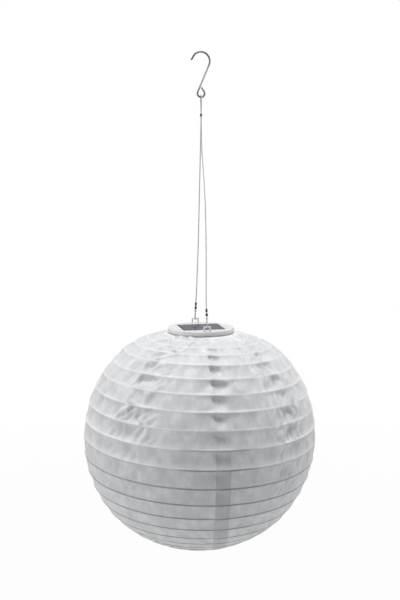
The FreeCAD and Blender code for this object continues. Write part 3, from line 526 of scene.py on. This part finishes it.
hook_steel = make_hook_steel()
spring_wire = metal("spring_wire", (0.4, 0.4, 0.42), (0.24, 0.24, 0.25), 0.34)
screw_steel = metal("screw_steel", (0.58, 0.58, 0.59), (0.4, 0.4, 0.41), 0.32)
metal("contact", (0.62, 0.61, 0.58), (0.45, 0.44, 0.42), 0.3)
metal("cell", (0.42, 0.47, 0.43), (0.33, 0.38, 0.34), 0.36, (250, 4000, 4000))
crimp = painted("crimp", (0.018, 0.018, 0.02), (0.13, 0.13, 0.135), 0.36, 0.6)
swivel = painted("swivel", (0.02, 0.02, 0.023), (0.12, 0.12, 0.125), 0.33, 0.45)
cap_white = plastic("cap_white", (0.87, 0.88, 0.885), (0.84, 0.85, 0.85), 0.24, 900, 0.01 * MM, through=0.35)
housing_grey = plastic("housing_grey", (0.82, 0.82, 0.815), (0.77, 0.77, 0.765), 0.42, 1600, 0.03 * MM, 0.4)
plastic("adhesive", (0.09, 0.09, 0.09), (0.06, 0.06, 0.06), 0.8, 1200, 0.2 * MM, 0.2)
switch_black = plastic("switch_black", (0.025, 0.025, 0.027), (0.035, 0.035, 0.037), 0.35, 1800, 0.02 * MM)
hoop_white = plastic("hoop_white", (0.74, 0.75, 0.75), (0.62, 0.63, 0.64), 0.4, 2200, 0.03 * MM)
cable_coat = make_cable_coat()
panel_glass = make_panel_glass()
make_board_green()
make_clear("lamp_clear", (0.95, 0.9, 0.72), 0.1, 0.6, 0.02 * MM)
lens_frost = make_clear("lens", (0.93, 0.94, 0.95), 0.38, 0.65, 0.08 * MM)


# Cord: the bail's cable, on the source's route, whose points are in millimetres
ROUTE = [
    (0.0, -33.64, -324.35), (0.0, -30.94, -312.65), (0.39, -29.34, -280.85), (0.9, -26.94, -240.69),
    (1.2, -22.44, -200.52), (1.11, -16.43, -170.34), (0.81, -9.4, -145.04), (0.3, -2.91, -122.06),
    (0.09, -1.89, -100.0), (0.0, -0.9, -80.5), (0.0, -0.9, -73.9), (0.0, -2.3, -59.45), (0.0, -2.3, -52.55),
    (0.0, 2.3, -52.55), (0.0, 2.3, -59.45), (0.0, 0.9, -73.9), (0.0, 0.9, -80.5), (-0.09, 1.89, -103.95),
    (-0.21, 3.9, -130.18), (-0.3, 7.3, -163.15), (-0.3, 11.32, -200.52), (-0.09, 16.43, -237.67),
    (0.0, 22.53, -272.96), (0.0, 30.94, -312.65), (0.0, 33.64, -324.35),
]
CABLE_WIDTH = 1.5 * MM
CABLE_SIDES = 18
CABLE_RINGS = 800
STRANDS = 6
STRAND_TURN = 12 * MM


def cable_line():
    """The points of the smooth spline that the route's points control."""
    data = bpy.data.curves.new("route", "CURVE")
    data.dimensions = "3D"
    data.resolution_u = 40
    spline = data.splines.new("NURBS")
    spline.points.add(len(ROUTE) - 1)
    for point, place in zip(spline.points, ROUTE):
        point.co = (*[MM * part for part in place], 1)
    spline.order_u = 3
    spline.use_endpoint_u = True
    holder = bpy.data.objects.new("route", data)
    line = bpy.data.meshes.new_from_object(holder)
    places = np.array([vertex.co for vertex in line.vertices], float)
    bpy.data.objects.remove(holder)
    bpy.data.curves.remove(data)
    bpy.data.meshes.remove(line)
    return places


def make_cable():
    """A coated cable whose strands swell its round section, and wind once in each turn's length.

    They swell it by the cosine of their number times the angle."""
    line = cable_line()
    places = np.linspace(0, length_of(line), CABLE_RINGS)
    turn = np.linspace(0, FULL_TURN, CABLE_SIDES, endpoint=False)
    winding = FULL_TURN * places / STRAND_TURN
    radius = CABLE_WIDTH / 2 * (0.97 + 0.03 * np.cos(STRANDS * (turn[None] - winding[:, None] / STRANDS)))
    grid = along_path(resampled(line, places), CABLE_SIDES, radius, X)
    uv = np.stack(np.broadcast_arrays(np.linspace(0, 1, CABLE_SIDES + 1)[None], places[:, None]), -1)
    return piece("bail_cable", surface(grid, uv=uv), cable_coat, "hanger", "hanger_cable"), line


# Hook: a wire that follows the source's lines and arcs
def make_hook():
    """Straight tip, open bend, slanting shank, teardrop eye and its short return, one after another."""
    radius, bend, eye, eye_height = 1.15 * MM, 11.3 * MM, 4.65 * MM, -50.2 * MM
    top, bottom = np.array([0, 0, radius - bend]), np.array([0, 0, eye_height])
    lean = math.asin((bend + eye) / (top[2] - bottom[2]))
    tip_angle, eye_end = math.radians(150), math.radians(395)
    tip_length, return_length = 6 * MM, 6.2 * MM
    bend_run = arc(top, X, Z, bend, tip_angle, -lean, 60)
    eye_run = arc(bottom, X, Z, eye, math.pi - lean, eye_end, 60)
    tip = bend_run[0] + tip_length * np.array([-math.sin(tip_angle), 0, math.cos(tip_angle)])
    back = eye_run[-1] + return_length * np.array([-math.sin(eye_end), 0, math.cos(eye_end)])
    path = np.concatenate([[tip], bend_run, eye_run, [back]])
    piece("hook_wire", wire(path, radius, Y, 20, 0.4 * MM), hook_steel, "hook", "hook")


# Ferrule, sleeves, swivels and snaps
def make_ferrule():
    """An oval sleeve: across, a rounded box by powers of cosine and sine.

    Upwards it is drawn in at both ends by a square, and at two crimps by bell curves."""
    rows, sides = 25, 36
    half_width, half_depth, height, middle = 1.3, 2.2, 3.6, -77.2
    turn = np.linspace(0, FULL_TURN, sides, endpoint=False)
    section = np.stack([half_width * rounded_power(np.cos(turn), 0.8),
                        half_depth * rounded_power(np.sin(turn), 0.75)], 1) * MM
    share = np.linspace(0, 1, rows)
    ends = 1 - 0.22 * np.clip(1 - np.minimum(share, 1 - share) / 0.14, 0, 1) ** 2
    crimps = 0.12 * (bell(share - 0.32, 0.07) + bell(share - 0.68, 0.07))
    grid = np.zeros((rows, sides, 3))
    grid[..., 0] = section[None, :, 0] * (ends - crimps)[:, None]
    grid[..., 1] = section[None, :, 1] * ends[:, None]
    grid[..., 2] = ((share - 0.5) * height + middle)[:, None] * MM
    return piece("cable_ferrule", surface(grid), crimp, "hanger", "hanger_ferrule")


# Radius and height over the foot of the leg's own axis, in millimetres
SLEEVE = [(0.42, 20.4), (1.05, 20.4), (1.45, 20.8), (1.45, 21.5), (1.28, 21.9), (1.28, 22.5), (1.45, 22.9),
          (1.45, 24.6), (1.1, 25.0), (0.8, 25.0), (0.8, 24.2)]
BARREL = [(0.46, 15.8), (0.46, 15.3), (1.0, 15.3), (1.3, 15.9), (1.65, 16.6), (1.65, 17.2), (1.52, 17.3),
          (1.52, 17.5), (1.65, 17.6), (1.65, 18.2), (1.3, 18.9), (1.0, 19.5), (0.46, 19.5), (0.46, 19.0)]
STEM = [(0.01, 18.6), (0.4, 18.6), (0.4, 22.38), (0.01, 22.38)]
EYE_NECK = [(0.01, 14.2), (0.4, 14.2), (0.4, 15.95), (0.01, 15.95)]
EYE_HEIGHT = 13.0 * MM
EYE_RADIUS = 1.3 * MM
EYE_WIRE = 0.4 * MM
LEG_LEAN = math.radians(13)
FOOT_OUT = 38.675 * MM
FOOT_HEIGHT = -346.173 * MM
LUG_OUT = 38.0 * MM
PIVOT_HEIGHT = -346.25 * MM
SNAP_WIDE = 3.0 * MM
SNAP_NARROW = 1.1 * MM
SNAP_RUN = 8.5 * MM
SNAP_WIRE = 0.45 * MM


def make_leg_end(name, hand):
    """Sleeve, swivel and snap of one leg, on an axis that leans in from the lug.

    The snap is two arcs, the wide one round the lug's bar, and the two straight runs that touch both."""
    up = np.array([0, -hand * math.sin(LEG_LEAN), math.cos(LEG_LEAN)])
    out = np.array([0, hand * math.cos(LEG_LEAN), math.sin(LEG_LEAN)])
    foot = np.array([0, hand * FOOT_OUT, FOOT_HEIGHT])

    def on_axis(pairs, ease, sides, dents=0.0):
        return turned(eased(np.array(pairs) * MM, ease * MM), sides, foot, up, dents=dents)

    sleeve = on_axis(SLEEVE, 0.25, 36, dents=0.06)
    sleeve = piece("crimp_sleeve_" + name, sleeve, crimp, "hanger", "leg_sleeve_" + name)
    barrel = on_axis(BARREL, 0.3, 36)
    piece("swivel_body_" + name, barrel, swivel, "barrel_" + name, "swivel_barrel_" + name)
    piece("swivel_pin_" + name, on_axis(STEM, 0.1, 16), spring_wire, "hanger", "swivel_stem_" + name)
    ring = arc(foot + up * EYE_HEIGHT, X, up, EYE_RADIUS, 0, FULL_TURN, 49)[:-1]
    loop = [closed_wire(ring, EYE_WIRE, out, 14), on_axis(EYE_NECK, 0.1, 16)]
    piece("swivel_loop_" + name, loop, spring_wire, "hanger", "swivel_eye_" + name)

    low = np.array([0, hand * LUG_OUT, PIVOT_HEIGHT + SNAP_WIDE])
    high = low + up * SNAP_RUN
    slope = math.asin((SNAP_WIDE - SNAP_NARROW) / SNAP_RUN)
    top = arc(high, out, up, SNAP_NARROW, slope, math.pi - slope, 24)
    bottom = arc(low, out, up, SNAP_WIDE, math.pi - slope, FULL_TURN + slope, 48)
    closing = np.linspace(bottom[-1], top[0], 30)[1:-1]
    opening = np.linspace(top[-1], bottom[0], 30)[1:-1]
    path = np.concatenate([top, opening, bottom, closing])
    piece("snap_wire_" + name, closed_wire(path, SNAP_WIRE, X, 14), spring_wire, "hanger", "snap_" + name)
    return sleeve


cable, cable_path = make_cable()
ferrule = make_ferrule()
sleeves = [make_leg_end("front", -1), make_leg_end("back", 1)]
make_hook()


# Hoops
HOOP_NAMES = ["top_hoop"] + ["hoop_%02d" % number for number in range(1, 19)] + ["bottom_hoop"]
BANDS = len(HOOP_NAMES) - 1
HOOP_WIRE = 0.6 * MM
TILT = math.radians(1.6)
HOOP_TILTS = np.array([0] + [TILT] * BANDS)


def hoop_place(name):
    """A hoop's radius, height and how far its centre stands to the side, from its CAD node."""
    low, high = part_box(name)
    return (high.y - low.y) / 2 - HOOP_WIRE, (high.z + low.z) / 2, (high.x + low.x) / 2


hoop_places = np.array([hoop_place(name) for name in HOOP_NAMES])


def hoop_line(number, angles):
    """Points on a hoop's centre line, which is a circle tilted about Y."""
    radius, height, shift = hoop_places[number]
    tilt = HOOP_TILTS[number]
    centre = np.array([shift, 0, height])
    across = np.array([math.cos(tilt), 0, -math.sin(tilt)])
    return centre + radius * (np.cos(angles)[:, None] * across + np.sin(angles)[:, None] * Y)


def make_hoops():
    """Each hoop is a round wire with a white coat, tilted as its node is."""
    angles = np.linspace(0, FULL_TURN, 144, endpoint=False)
    for number, name in enumerate(HOOP_NAMES):
        over = np.array([math.sin(HOOP_TILTS[number]), 0, math.cos(HOOP_TILTS[number])])
        form = closed_wire(hoop_line(number, angles), HOOP_WIRE, over, 10)
        piece(name + "_wire", form, hoop_white, frame["nodes"][name]["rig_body"], name)


make_hoops()


# Cloth: eight gores whose seams wind a little round the shade, and a doubled strip beside the main seam.
# Angles in degrees
SEAMS = np.array([-139.8, -95.0, -57.0, -18.0, 30.0, 76.0, 124.0, 172.0, 220.2])
TWIST_HOOPS = [0, 2, 8, 14, 17, 19]
TWIST = [-2.5, -3.2, -0.5, 1.7, 5.5, 10.5]
GORES = 8
GORE_COLUMNS = 44
MAIN_SEAM = 1
STRIP_WIDTH = 18 * MM
CLOTH_THICKNESS = 0.35 * MM
RIDGE = 1.3 * MM
TOP_RISE = 0.9 * MM
HEM_STEP = 0.9 * MM
HEM_TURNS = np.radians([60, 120, 180, 240])

# Beside each seam, in millimetres: how far the slack reaches, how deep its hollows and how high its folds
# are, how far they lean over one band, and the folds' pitch
SEAM_SLACK = [(18, 2.8, 2.3, -12, 13), (15, 4.6, 0.6, 4, 9), (18, 3.2, 1.9, -9, 12), (15, 2.2, 1.0, -8, 10),
              (15, 2.4, 1.0, 7, 10), (17, 2.6, 1.1, -9, 12), (14, 2.2, 0.9, 6, 10), (16, 2.4, 1.0, -7, 11)]

# Rows down the cloth, by the band between two hoops and the share of it, and columns round it by their angle
BAND_SHARES = np.array([0, 0.03, 0.065, 0.11, 0.18, 0.28, 0.4, 0.52, 0.64, 0.76, 0.86, 0.93, 0.97])
BAND = np.concatenate([np.repeat(np.arange(BANDS), len(BAND_SHARES)), [BANDS - 1]])
SHARE = np.concatenate([np.tile(BAND_SHARES, BANDS), [1.0]])
PLACE = BAND + SHARE
TURN = np.radians(np.interp(np.arange(GORES * GORE_COLUMNS), np.arange(GORES + 1) * GORE_COLUMNS, SEAMS))


def lattice_noise(rows, columns, across, down, seed):
    """Values between -1 and 1 on a lattice that closes round the shade, eased between its points.

    Rows and columns are shares of the way down and round. The lattice has so many cells across and down."""
    values = np.random.default_rng(seed).uniform(-1, 1, (down + 2, across))
    u, v = columns * across, rows * down
    i, j = np.floor(v).astype(int), np.floor(u).astype(int)
    a, b = smooth(v - i), smooth(u - j)
    i = np.clip(i, 0, down)
    j0, j1 = j % across, (j + 1) % across
    upper = values[i, j0] * (1 - b) + values[i, j1] * b
    lower = values[i + 1, j0] * (1 - b) + values[i + 1, j1] * b
    return upper * (1 - a) + lower * a


def cloth_lines():
    """The straight lines from hoop to hoop, just outside the wires.

    Radius and height of each row, the direction away from the shade there, and each band's length."""
    radius, height, _ = hoop_places.T
    slope_r, slope_z = np.gradient(radius), np.gradient(height)
    steep = np.hypot(slope_r, slope_z)
    stand = HOOP_WIRE + CLOTH_THICKNESS
    ridge_r, ridge_z = radius - slope_z / steep * stand, height + slope_r / steep * stand
    ridge_z[0] = height[0] + TOP_RISE
    long = np.hypot(np.diff(ridge_r), np.diff(ridge_z))
    r = ridge_r[BAND] * (1 - SHARE) + ridge_r[BAND + 1] * SHARE
    z = ridge_z[BAND] * (1 - SHARE) + ridge_z[BAND + 1] * SHARE
    away_r, away_z = -(np.diff(ridge_z) / long)[BAND], (np.diff(ridge_r) / long)[BAND]
    return r, z, away_r, away_z, long


def cloth_relief(r, long):
    """How far the cloth stands out from its straight lines, in rows down and columns round.

    Each band is drawn in by one less the bell curve of the distance from either hoop, so that the hoop stands
    as a ridge, and sags by four times the share and its rest. Beside each seam hangs a hollow that starts a
    little below a hoop, later the farther from the seam, and ends above the next. Short folds follow the
    cosine of the distance from the seam. Over all lies a noise of upright ripples, broad swells and slanting
    folds. All of it is weaker in short bands and in the lower half, where the cloth is taut, and the hollows
    start shallow under the cap. The doubled strip stands out beside the main seam."""
    share, r, long = SHARE[:, None], r[:, None], long[BAND][:, None]
    down, up = share * long, (1 - share) * long

    # Shares that weaken a form: in the lower half, at the hoops, beside them, in short bands, under the cap
    loose_half = (1 - smooth((BAND - 7) / 6))[:, None]
    gentle = RIDGE * (1 + 1.6 * loose_half)
    drawn = (1 - bell(down, gentle)) * (1 - bell(up, 0.9 * RIDGE))
    inward = (0.5 * drawn + 0.12 * 4 * share * (1 - share)) * MM
    held = drawn * np.sin(math.pi * share) ** 0.4
    edged = (1 - bell(down, 1.4 * MM)) * (1 - bell(up, 2 * MM))
    room = np.minimum(long / (17 * MM), 1) ** 2.5
    settled = smooth((PLACE + 1) / 6)[:, None]

    rows, columns = np.broadcast_arrays((PLACE / BANDS)[:, None], ((TURN - TURN[0]) / FULL_TURN)[None])
    bend = lattice_noise(rows, columns, 48, 40, 31)
    strength = 0.35 + 0.65 * smooth(lattice_noise(rows, columns, 40, 19, 33) + 0.6)
    girth = FULL_TURN * r
    puckers = np.zeros(rows.shape)
    loose = np.full(rows.shape, 0.12)
    rng = np.random.default_rng(7)
    for seam, (width, swell, fold, lean, pitch) in zip(np.radians(SEAMS), SEAM_SLACK):
        beside = (r * (TURN - seam)[None] + girth / 2) % girth - girth / 2
        size = rng.uniform(0.65, 1.15, BANDS)[BAND][:, None]
        drift = rng.uniform(-0.05, 0.05, BANDS)[BAND][:, None]
        tail = rng.uniform(0.75, 1.25, BANDS)[BAND][:, None] * width * MM
        leaning = beside - (share - 0.5) * lean * MM
        place = share - drift - 0.2 * np.clip(leaning / tail, 0, 1.5) - 0.05 * bend
        hollow = smooth(place / 0.27 + 0.3) * smooth((1 - share) / 0.62)
        cover = smooth(leaning / (1.6 * MM) + 0.3) * smooth((tail - leaning) / (13 * MM) + 0.5)
        cover += 0.2 * smooth(0.5 - beside / (3 * MM)) * bell(np.minimum(beside, 0), 9 * MM)
        puckers -= swell * MM * size * hollow * cover * edged * loose_half * room * settled
        near = bell(np.maximum(np.abs(beside - 8 * MM) - 10 * MM, 0), 22 * MM)
        loose = np.maximum(loose, near * min(fold / 1.5, 1))
        wave = np.cos(FULL_TURN * leaning / (pitch * MM) + 5 * size + 4 * bend)
        puckers += fold * MM * size * near * wave * strength * held * (0.3 + 0.7 * loose_half) * room

    patches = smooth(lattice_noise(rows, columns, 17, 9, 21) + 0.55)
    ripple = 0.28 * lattice_noise(rows, columns, 170, 34, 3) + 1.2 * lattice_noise(rows, columns, 76, 26, 5)
    broad = 0.9 * lattice_noise(rows, columns, 24, 19, 11)
    slanting = 2.6 * loose * lattice_noise(rows, columns + 0.016 * (share - 0.5), 88, 19, 13)
    slanting *= smooth(lattice_noise(rows, columns, 15, 8, 23) * 1.5 + 0.6)
    puckers += (ripple * patches + broad + slanting) * MM * held * (0.55 + 0.45 * loose_half) * room

    beside = (TURN - math.radians(SEAMS[MAIN_SEAM]))[None] * r
    doubled = smooth(beside / (0.8 * MM) + 0.5) * smooth((STRIP_WIDTH - beside) / (1.6 * MM) + 0.5)
    return puckers - inward + 0.3 * MM * doubled


def rolled_hem(edge, number, angles, sign):
    """Rows that carry the cloth's edge round its hoop's wire.

    Each point turns about the wire's centre, square to the hoop's own direction there."""
    centre = hoop_line(number, angles)
    start = edge - centre
    size = np.linalg.norm(start, axis=1)[:, None]
    outward = start / size
    tangent = np.stack([-np.sin(angles), np.cos(angles), np.zeros_like(angles)], -1)
    over = np.cross(tangent, outward) * sign
    return np.array([centre + size * (np.cos(turn) * outward - np.sin(turn) * over) for turn in HEM_TURNS])


def cloth_grid():
    """The cloth's points, the radius of each row and its distance down the cloth.

    Each row is a circle, turned as the seams wind, and tilted and shifted as the hoops are."""
    r, z, away_r, away_z, long = cloth_lines()
    around = TURN[None] + np.radians(np.interp(PLACE, TWIST_HOOPS, TWIST))[:, None]
    off = cloth_relief(r, long)
    across = r[:, None] + away_r[:, None] * off
    x, y, lift = across * np.cos(around), across * np.sin(around), away_z[:, None] * off
    tilt = np.interp(PLACE, np.arange(BANDS + 1), HOOP_TILTS)[:, None]
    middle = np.interp(PLACE, np.arange(BANDS + 1), hoop_places[:, 2])[:, None]
    grid = np.stack([middle + x * np.cos(tilt) + lift * np.sin(tilt), y,
                     z[:, None] + lift * np.cos(tilt) - x * np.sin(tilt)], -1)
    top_hem = rolled_hem(grid[0], 0, around[0], 1)
    bottom_hem = rolled_hem(grid[-1], -1, around[-1], -1)
    grid = np.concatenate([top_hem[::-1], grid, bottom_hem])
    hem = len(HEM_TURNS)
    lengths = np.concatenate([[0], np.cumsum(np.hypot(np.diff(r), np.diff(z)))])
    lengths = np.concatenate([-HEM_STEP * np.arange(hem, 0, -1), lengths,
                              lengths[-1] + HEM_STEP * np.arange(1, hem + 1)])
    return grid, np.pad(r, hem, "edge"), lengths


def cloth_layers(faces, radius, lengths):
    """Texture layers by the corners of the faces, in metres.

    Weave: distance from the gore's middle, and down the cloth. Seam: distance from the gore's first seam,
    and 1 in the gore beside the main one. Hoops: distance below the hoop above, and above the hoop below."""
    columns = GORES * GORE_COLUMNS
    hem = len(HEM_TURNS)
    row, column = np.divmod(np.array(faces), columns)
    wraps = np.ptp(column, axis=1)[:, None] > 1
    column = np.where(wraps & (column == 0), columns, column)
    gore = column.min(1) // GORE_COLUMNS
    seams = np.radians(SEAMS)
    angle = np.radians(np.interp(column, np.arange(GORES + 1) * GORE_COLUMNS, SEAMS))
    from_seam = (angle - seams[gore][:, None]) * radius[row]
    half = (np.diff(seams)[gore] / 2)[:, None] * radius[row]
    down = lengths[row]
    hoops = lengths[hem + np.append(np.arange(BANDS) * len(BAND_SHARES), len(BAND) - 1)]
    band = np.pad(BAND, hem, "edge")[row.min(1)]
    return {
        "weave": np.stack([from_seam - half, down], -1),
        "seam": np.stack([from_seam, np.repeat((gore == MAIN_SEAM)[:, None], 4, 1)], -1),
        "hoops": np.stack([down - hoops[band][:, None], hoops[band + 1][:, None] - down], -1),
    }


def make_cloth():
    """The shade's one sheet of cloth, and its area: each row's way round times the step to the next."""
    grid, radius, lengths = cloth_grid()
    points, faces, _ = surface(grid, ends=False)
    thing = piece("shade_sheet", (points, faces, []), shade_cloth, "cap", "shade_cloth", sharp=180)
    for label, places in cloth_layers(faces, radius, lengths).items():
        add_places(thing.data, label, places)
    steps = np.linalg.norm(np.diff(grid, axis=0)[:, 0], axis=1)
    return thing, (steps * FULL_TURN * (radius[:-1] + radius[1:]) / 2).sum()


def make_shade_cloth():
    """White satin nylon: threads both ways, slubs that run round, and a mottle of paler and darker patches
    that is painted sheen and shade of its creases.

    A doubled strip beside the main seam has painted shade in the lower half, and each seam has a hem and a
    row of stitches. Over a hoop the cloth has a painted highlight in the upper half and a painted shadow in
    the lower half, and the change comes higher at the middle of the front and back. The middle bands have a
    painted highlight above the hoop below them, and the cloth under the cap has painted light where the cap's
    shadow falls. Some light passes through it."""
    finish, tree, shader = new_finish("shade_cloth", Specular_IOR_Level=0.45, Sheen_Weight=0.25,
                                      Sheen_Roughness=0.4)
    where, weave = coordinates(tree), layer_of(tree, "weave")
    down = split(tree, weave)[1]
    beside, is_main = split(tree, layer_of(tree, "seam"))[:2]
    below, above = (maths(tree, "ABSOLUTE", edge) for edge in split(tree, layer_of(tree, "hoops"))[:2])
    white = (1, 1, 1)

    slubs = noise(tree, stretched(tree, weave, (22, 1500, 1)), 1, 3, 0.6)
    cloud = noise(tree, where, 14, 3, 0.55)
    tone = summed(tree, times(tree, slubs, 0.55), times(tree, cloud, 0.45))
    cloth = blended(tree, ranged(tree, tone, 0, 1, 0.36, 0.62), (0.74, 0.752, 0.767), (0.82, 0.828, 0.84))
    # Painted sheen and shade of creases: paler and darker patches from a stretched noise
    mottle = noise(tree, stretched(tree, weave, (75, 42, 1)), 1, 4, 0.55)
    cloth = blended(tree, ranged(tree, mottle, 0, 0.75, 0.5, 0.66), cloth, (0.92, 0.925, 0.93))
    cloth = blended(tree, ranged(tree, mottle, 0.45, 0, 0.34, 0.5), cloth, (0.62, 0.63, 0.65))

    # Painted shade: the doubled strip beside the main seam is darker in the lower half
    strip = times(tree, maths(tree, "LESS_THAN", beside, STRIP_WIDTH), is_main)
    strip = times(tree, strip, ranged(tree, down, 0.05, 0.53, 0.15, 0.185))
    cloth = blended(tree, strip, cloth, (0.46, 0.467, 0.48))

    # Painted highlight on the middle bands above the hoop below, and painted light on the cloth under the cap
    middle_bands = times(tree, ranged(tree, down, 0, 1, 0.15, 0.17), ranged(tree, down, 1, 0, 0.192, 0.2))
    painted_rim_highlight = times(tree, middle_bands, ranged(tree, above, 0.8, 0, 0.5 * MM, 9 * MM))
    painted_light_under_cap = ranged(tree, down, 0.9, 0, 3 * MM, 11 * MM)
    cloth = blended(tree, maths(tree, "MAXIMUM", painted_rim_highlight, painted_light_under_cap), cloth, white)

    # Painted highlight over each hoop in the upper half, painted shadow under it in the lower half
    from_middle = maths(tree, "ABSOLUTE", summed(tree, split(tree, where)[0], 10 * MM))
    lowered = summed(tree, down, ranged(tree, from_middle, 30 * MM, -5 * MM, 0.03, 0.05))
    over_wire = ranged(tree, maths(tree, "MINIMUM", below, above), 1, 0, 0.7 * MM, 1.3 * MM)
    paler = times(tree, over_wire, ranged(tree, lowered, 0.5, 0, 0.155, 0.2))
    cloth = blended(tree, paler, cloth, white)
    darker = times(tree, over_wire, ranged(tree, lowered, 0, 0.85, 0.168, 0.22))
    cloth = blended(tree, darker, cloth, (0.3, 0.3, 0.31))

    hem = times(tree, maths(tree, "LESS_THAN", beside, 5 * MM), 0.22)
    cloth = blended(tree, hem, cloth, (0.69, 0.7, 0.715))
    from_line = maths(tree, "ABSOLUTE", maths(tree, "SUBTRACT", beside, 2.2 * MM))
    dash = maths(tree, "GREATER_THAN", maths(tree, "PINGPONG", down, 1.3 * MM), 0.45 * MM)
    stitch = times(tree, maths(tree, "LESS_THAN", from_line, 0.2 * MM), dash)
    cloth = blended(tree, times(tree, stitch, 0.55), cloth, (0.5, 0.51, 0.52))
    coloured(tree, shader, cloth, ranged(tree, tone, 0.56, 0.42, 0.36, 0.62))

    warp = noise(tree, stretched(tree, weave, (1300, 26, 1)), 1, 2, 0.5)
    crease = noise(tree, stretched(tree, weave, (150, 60, 1)), 1, 4, 0.55)
    threads = summed(tree, waves(tree, weave, 900.0, "Y", 0.6), waves(tree, weave, 900.0, "X", 0.6))
    bumps = crease
    for part, share in ((slubs, 0.16), (warp, 0.04), (threads, 0.02), (stitch, 0.1)):
        bumps = summed(tree, bumps, times(tree, part, share))
    relief(tree, shader, bumps, 1.1 * MM, 0.55)
    lit_through(tree, shader, 0.2)
    return finish


shade_cloth = make_shade_cloth()
shade, shade_area = make_cloth()
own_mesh(shade)


# Cap
moulded("cap_cover", cap_white, 0.35 * MM, 3)
moulded("cap_lug_front", cap_white, 0.4 * MM, 3)
moulded("cap_lug_back", cap_white, 0.4 * MM, 3)
moulded("solar_panel", panel_glass, 0.2 * MM, 2)
moulded("cap_housing", housing_grey, 0.3 * MM, 2)
moulded("battery_door", housing_grey, 0.3 * MM, 2)
moulded("switch_slider", switch_black, 0.25 * MM, 2)


def make_lens():
    """A frosted half ball with a wall: the outer arc down, then the inner one back."""
    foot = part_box("lamp_lens")[1].z
    angle = np.radians(np.linspace(0, 88, 24))
    outer, inner = (np.stack([radius * np.cos(angle), foot - radius * np.sin(angle)], 1)
                    for radius in (8 * MM, 6.8 * MM))
    form = turned(np.concatenate([outer, inner[::-1]]), 48, (0, -9 * MM, 0), ring=True)
    piece("lamp_dome", form, lens_frost, "cap", "lamp_lens")


def make_screw_heads(name, node, places):
    """Pan heads that look down. Their face rises in a cross, where x or y is under half a slot."""
    turn = np.linspace(0, FULL_TURN, 48, endpoint=False)
    share = np.concatenate([np.linspace(0.03, 0.86, 16), [0.93, 0.98, 1.0, 1.0]])
    edge = np.concatenate([np.zeros(16), [0.06, 0.16, 0.34, 1.3]])
    x, y = (2 * share[:, None] * wave(turn)[None] for wave in (np.cos, np.sin))
    slot = smooth((0.32 - np.minimum(abs(x), abs(y))) / 0.12 + 0.5)
    cross = np.minimum(slot, smooth((1.15 - np.hypot(x, y)) / 0.15))
    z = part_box(node)[0].z + (edge[:, None] + 0.6 * cross) * MM
    heads = [surface(np.stack([(px + x) * MM, (py + y) * MM, z], -1)) for px, py in places]
    piece(name, heads, screw_steel, "cap", node)


make_lens()
make_screw_heads("housing_screw_heads", "housing_screws", [(29.8, -4), (-29.8, -4), (0, -31)])
make_screw_heads("door_screw_head", "door_screw", [(0, 23)])

for node in frame["nodes"].values():
    finish = FINISHES[node.data.materials[0].name]
    node.data.materials.clear()
    node.data.materials.append(finish)


# Studio
def looked_at(tree):
    """1 where the camera, or light that comes by a mirror or through glass, meets the surface; else 0."""
    path = tree.nodes.new("ShaderNodeLightPath")
    seen = maths(tree, "MAXIMUM", path.outputs["Is Camera Ray"], path.outputs["Is Glossy Ray"])
    return maths(tree, "MAXIMUM", seen, path.outputs["Is Transmission Ray"])


def make_floor():
    """A pale floor well below the lantern. The camera sees it nearly white, and it keeps a soft shadow.

    The shadow fades out between 1.1 and 2 metres from the hook. Seen from below the floor is clear."""
    size, level = 8.0, -0.95
    corners = [(-size, -size, level), (size, -size, level), (size, size, level), (-size, size, level)]
    mesh = bpy.data.meshes.new("floor")
    mesh.from_pydata(corners, [], [(0, 1, 2, 3)])
    floor = add_object("floor", mesh)
    finish, tree, shader = new_finish("floor_paper", Roughness=0.9, Specular_IOR_Level=0.2)
    shader.inputs["Base Color"].default_value = (0.86, 0.86, 0.86, 1)
    glow = add_node(tree, "ShaderNodeEmission", Color=(1, 1, 1, 1), Strength=1.0)
    distance = add_node(tree, "ShaderNodeVectorMath", {"operation": "LENGTH"}, _0=coordinates(tree))
    share = times(tree, looked_at(tree), ranged(tree, distance.outputs[1], 0.93, 1.0, 1.1, 2.0))
    white = add_node(tree, "ShaderNodeMixShader", _0=share, _1=shader.outputs[0], _2=glow.outputs[0])
    clear = tree.nodes.new("ShaderNodeBsdfTransparent")
    below = tree.nodes.new("ShaderNodeNewGeometry").outputs["Backfacing"]
    both = add_node(tree, "ShaderNodeMixShader", _0=below, _1=white.outputs[0], _2=clear.outputs[0])
    tree.links.new(both.outputs[0], tree.nodes["Material Output"].inputs["Surface"])
    mesh.materials.append(finish)


def make_world():
    """Even grey light for the object, and white where the camera, metal or glass looks out."""
    world = bpy.data.worlds.new("studio")
    bpy.context.scene.world = world
    world.use_nodes = True
    tree = world.node_tree
    back = tree.nodes["Background"]
    back.inputs["Color"].default_value = (1, 1, 1, 1)
    tree.links.new(ranged(tree, looked_at(tree), 0.2, 1.0, 0.0, 1.0), back.inputs["Strength"])


def make_lamp(name, place, target, size, energy):
    """A large soft lamp turned to a point."""
    data = bpy.data.lights.new(name, "AREA")
    data.shape = "DISK"
    data.size = size
    data.energy = energy
    lamp = add_object(name, data)
    lamp.location = place
    aim = Vector(target) - Vector(place)
    lamp.rotation_euler = aim.to_track_quat("-Z", "Y").to_euler()


make_floor()
make_world()
make_lamp("overhead", (0.0, -0.1, 1.3), (0, 0, -0.45), 1.1, 25.5)
make_lamp("left_side", (-2.0, 0.0, 0.2), (0, 0, -0.5), 1.2, 15)
make_lamp("right_side", (2.0, 0.0, 0.5), (0, 0, -0.5), 1.2, 14)
bpy.context.scene.view_settings.view_transform = "Standard"
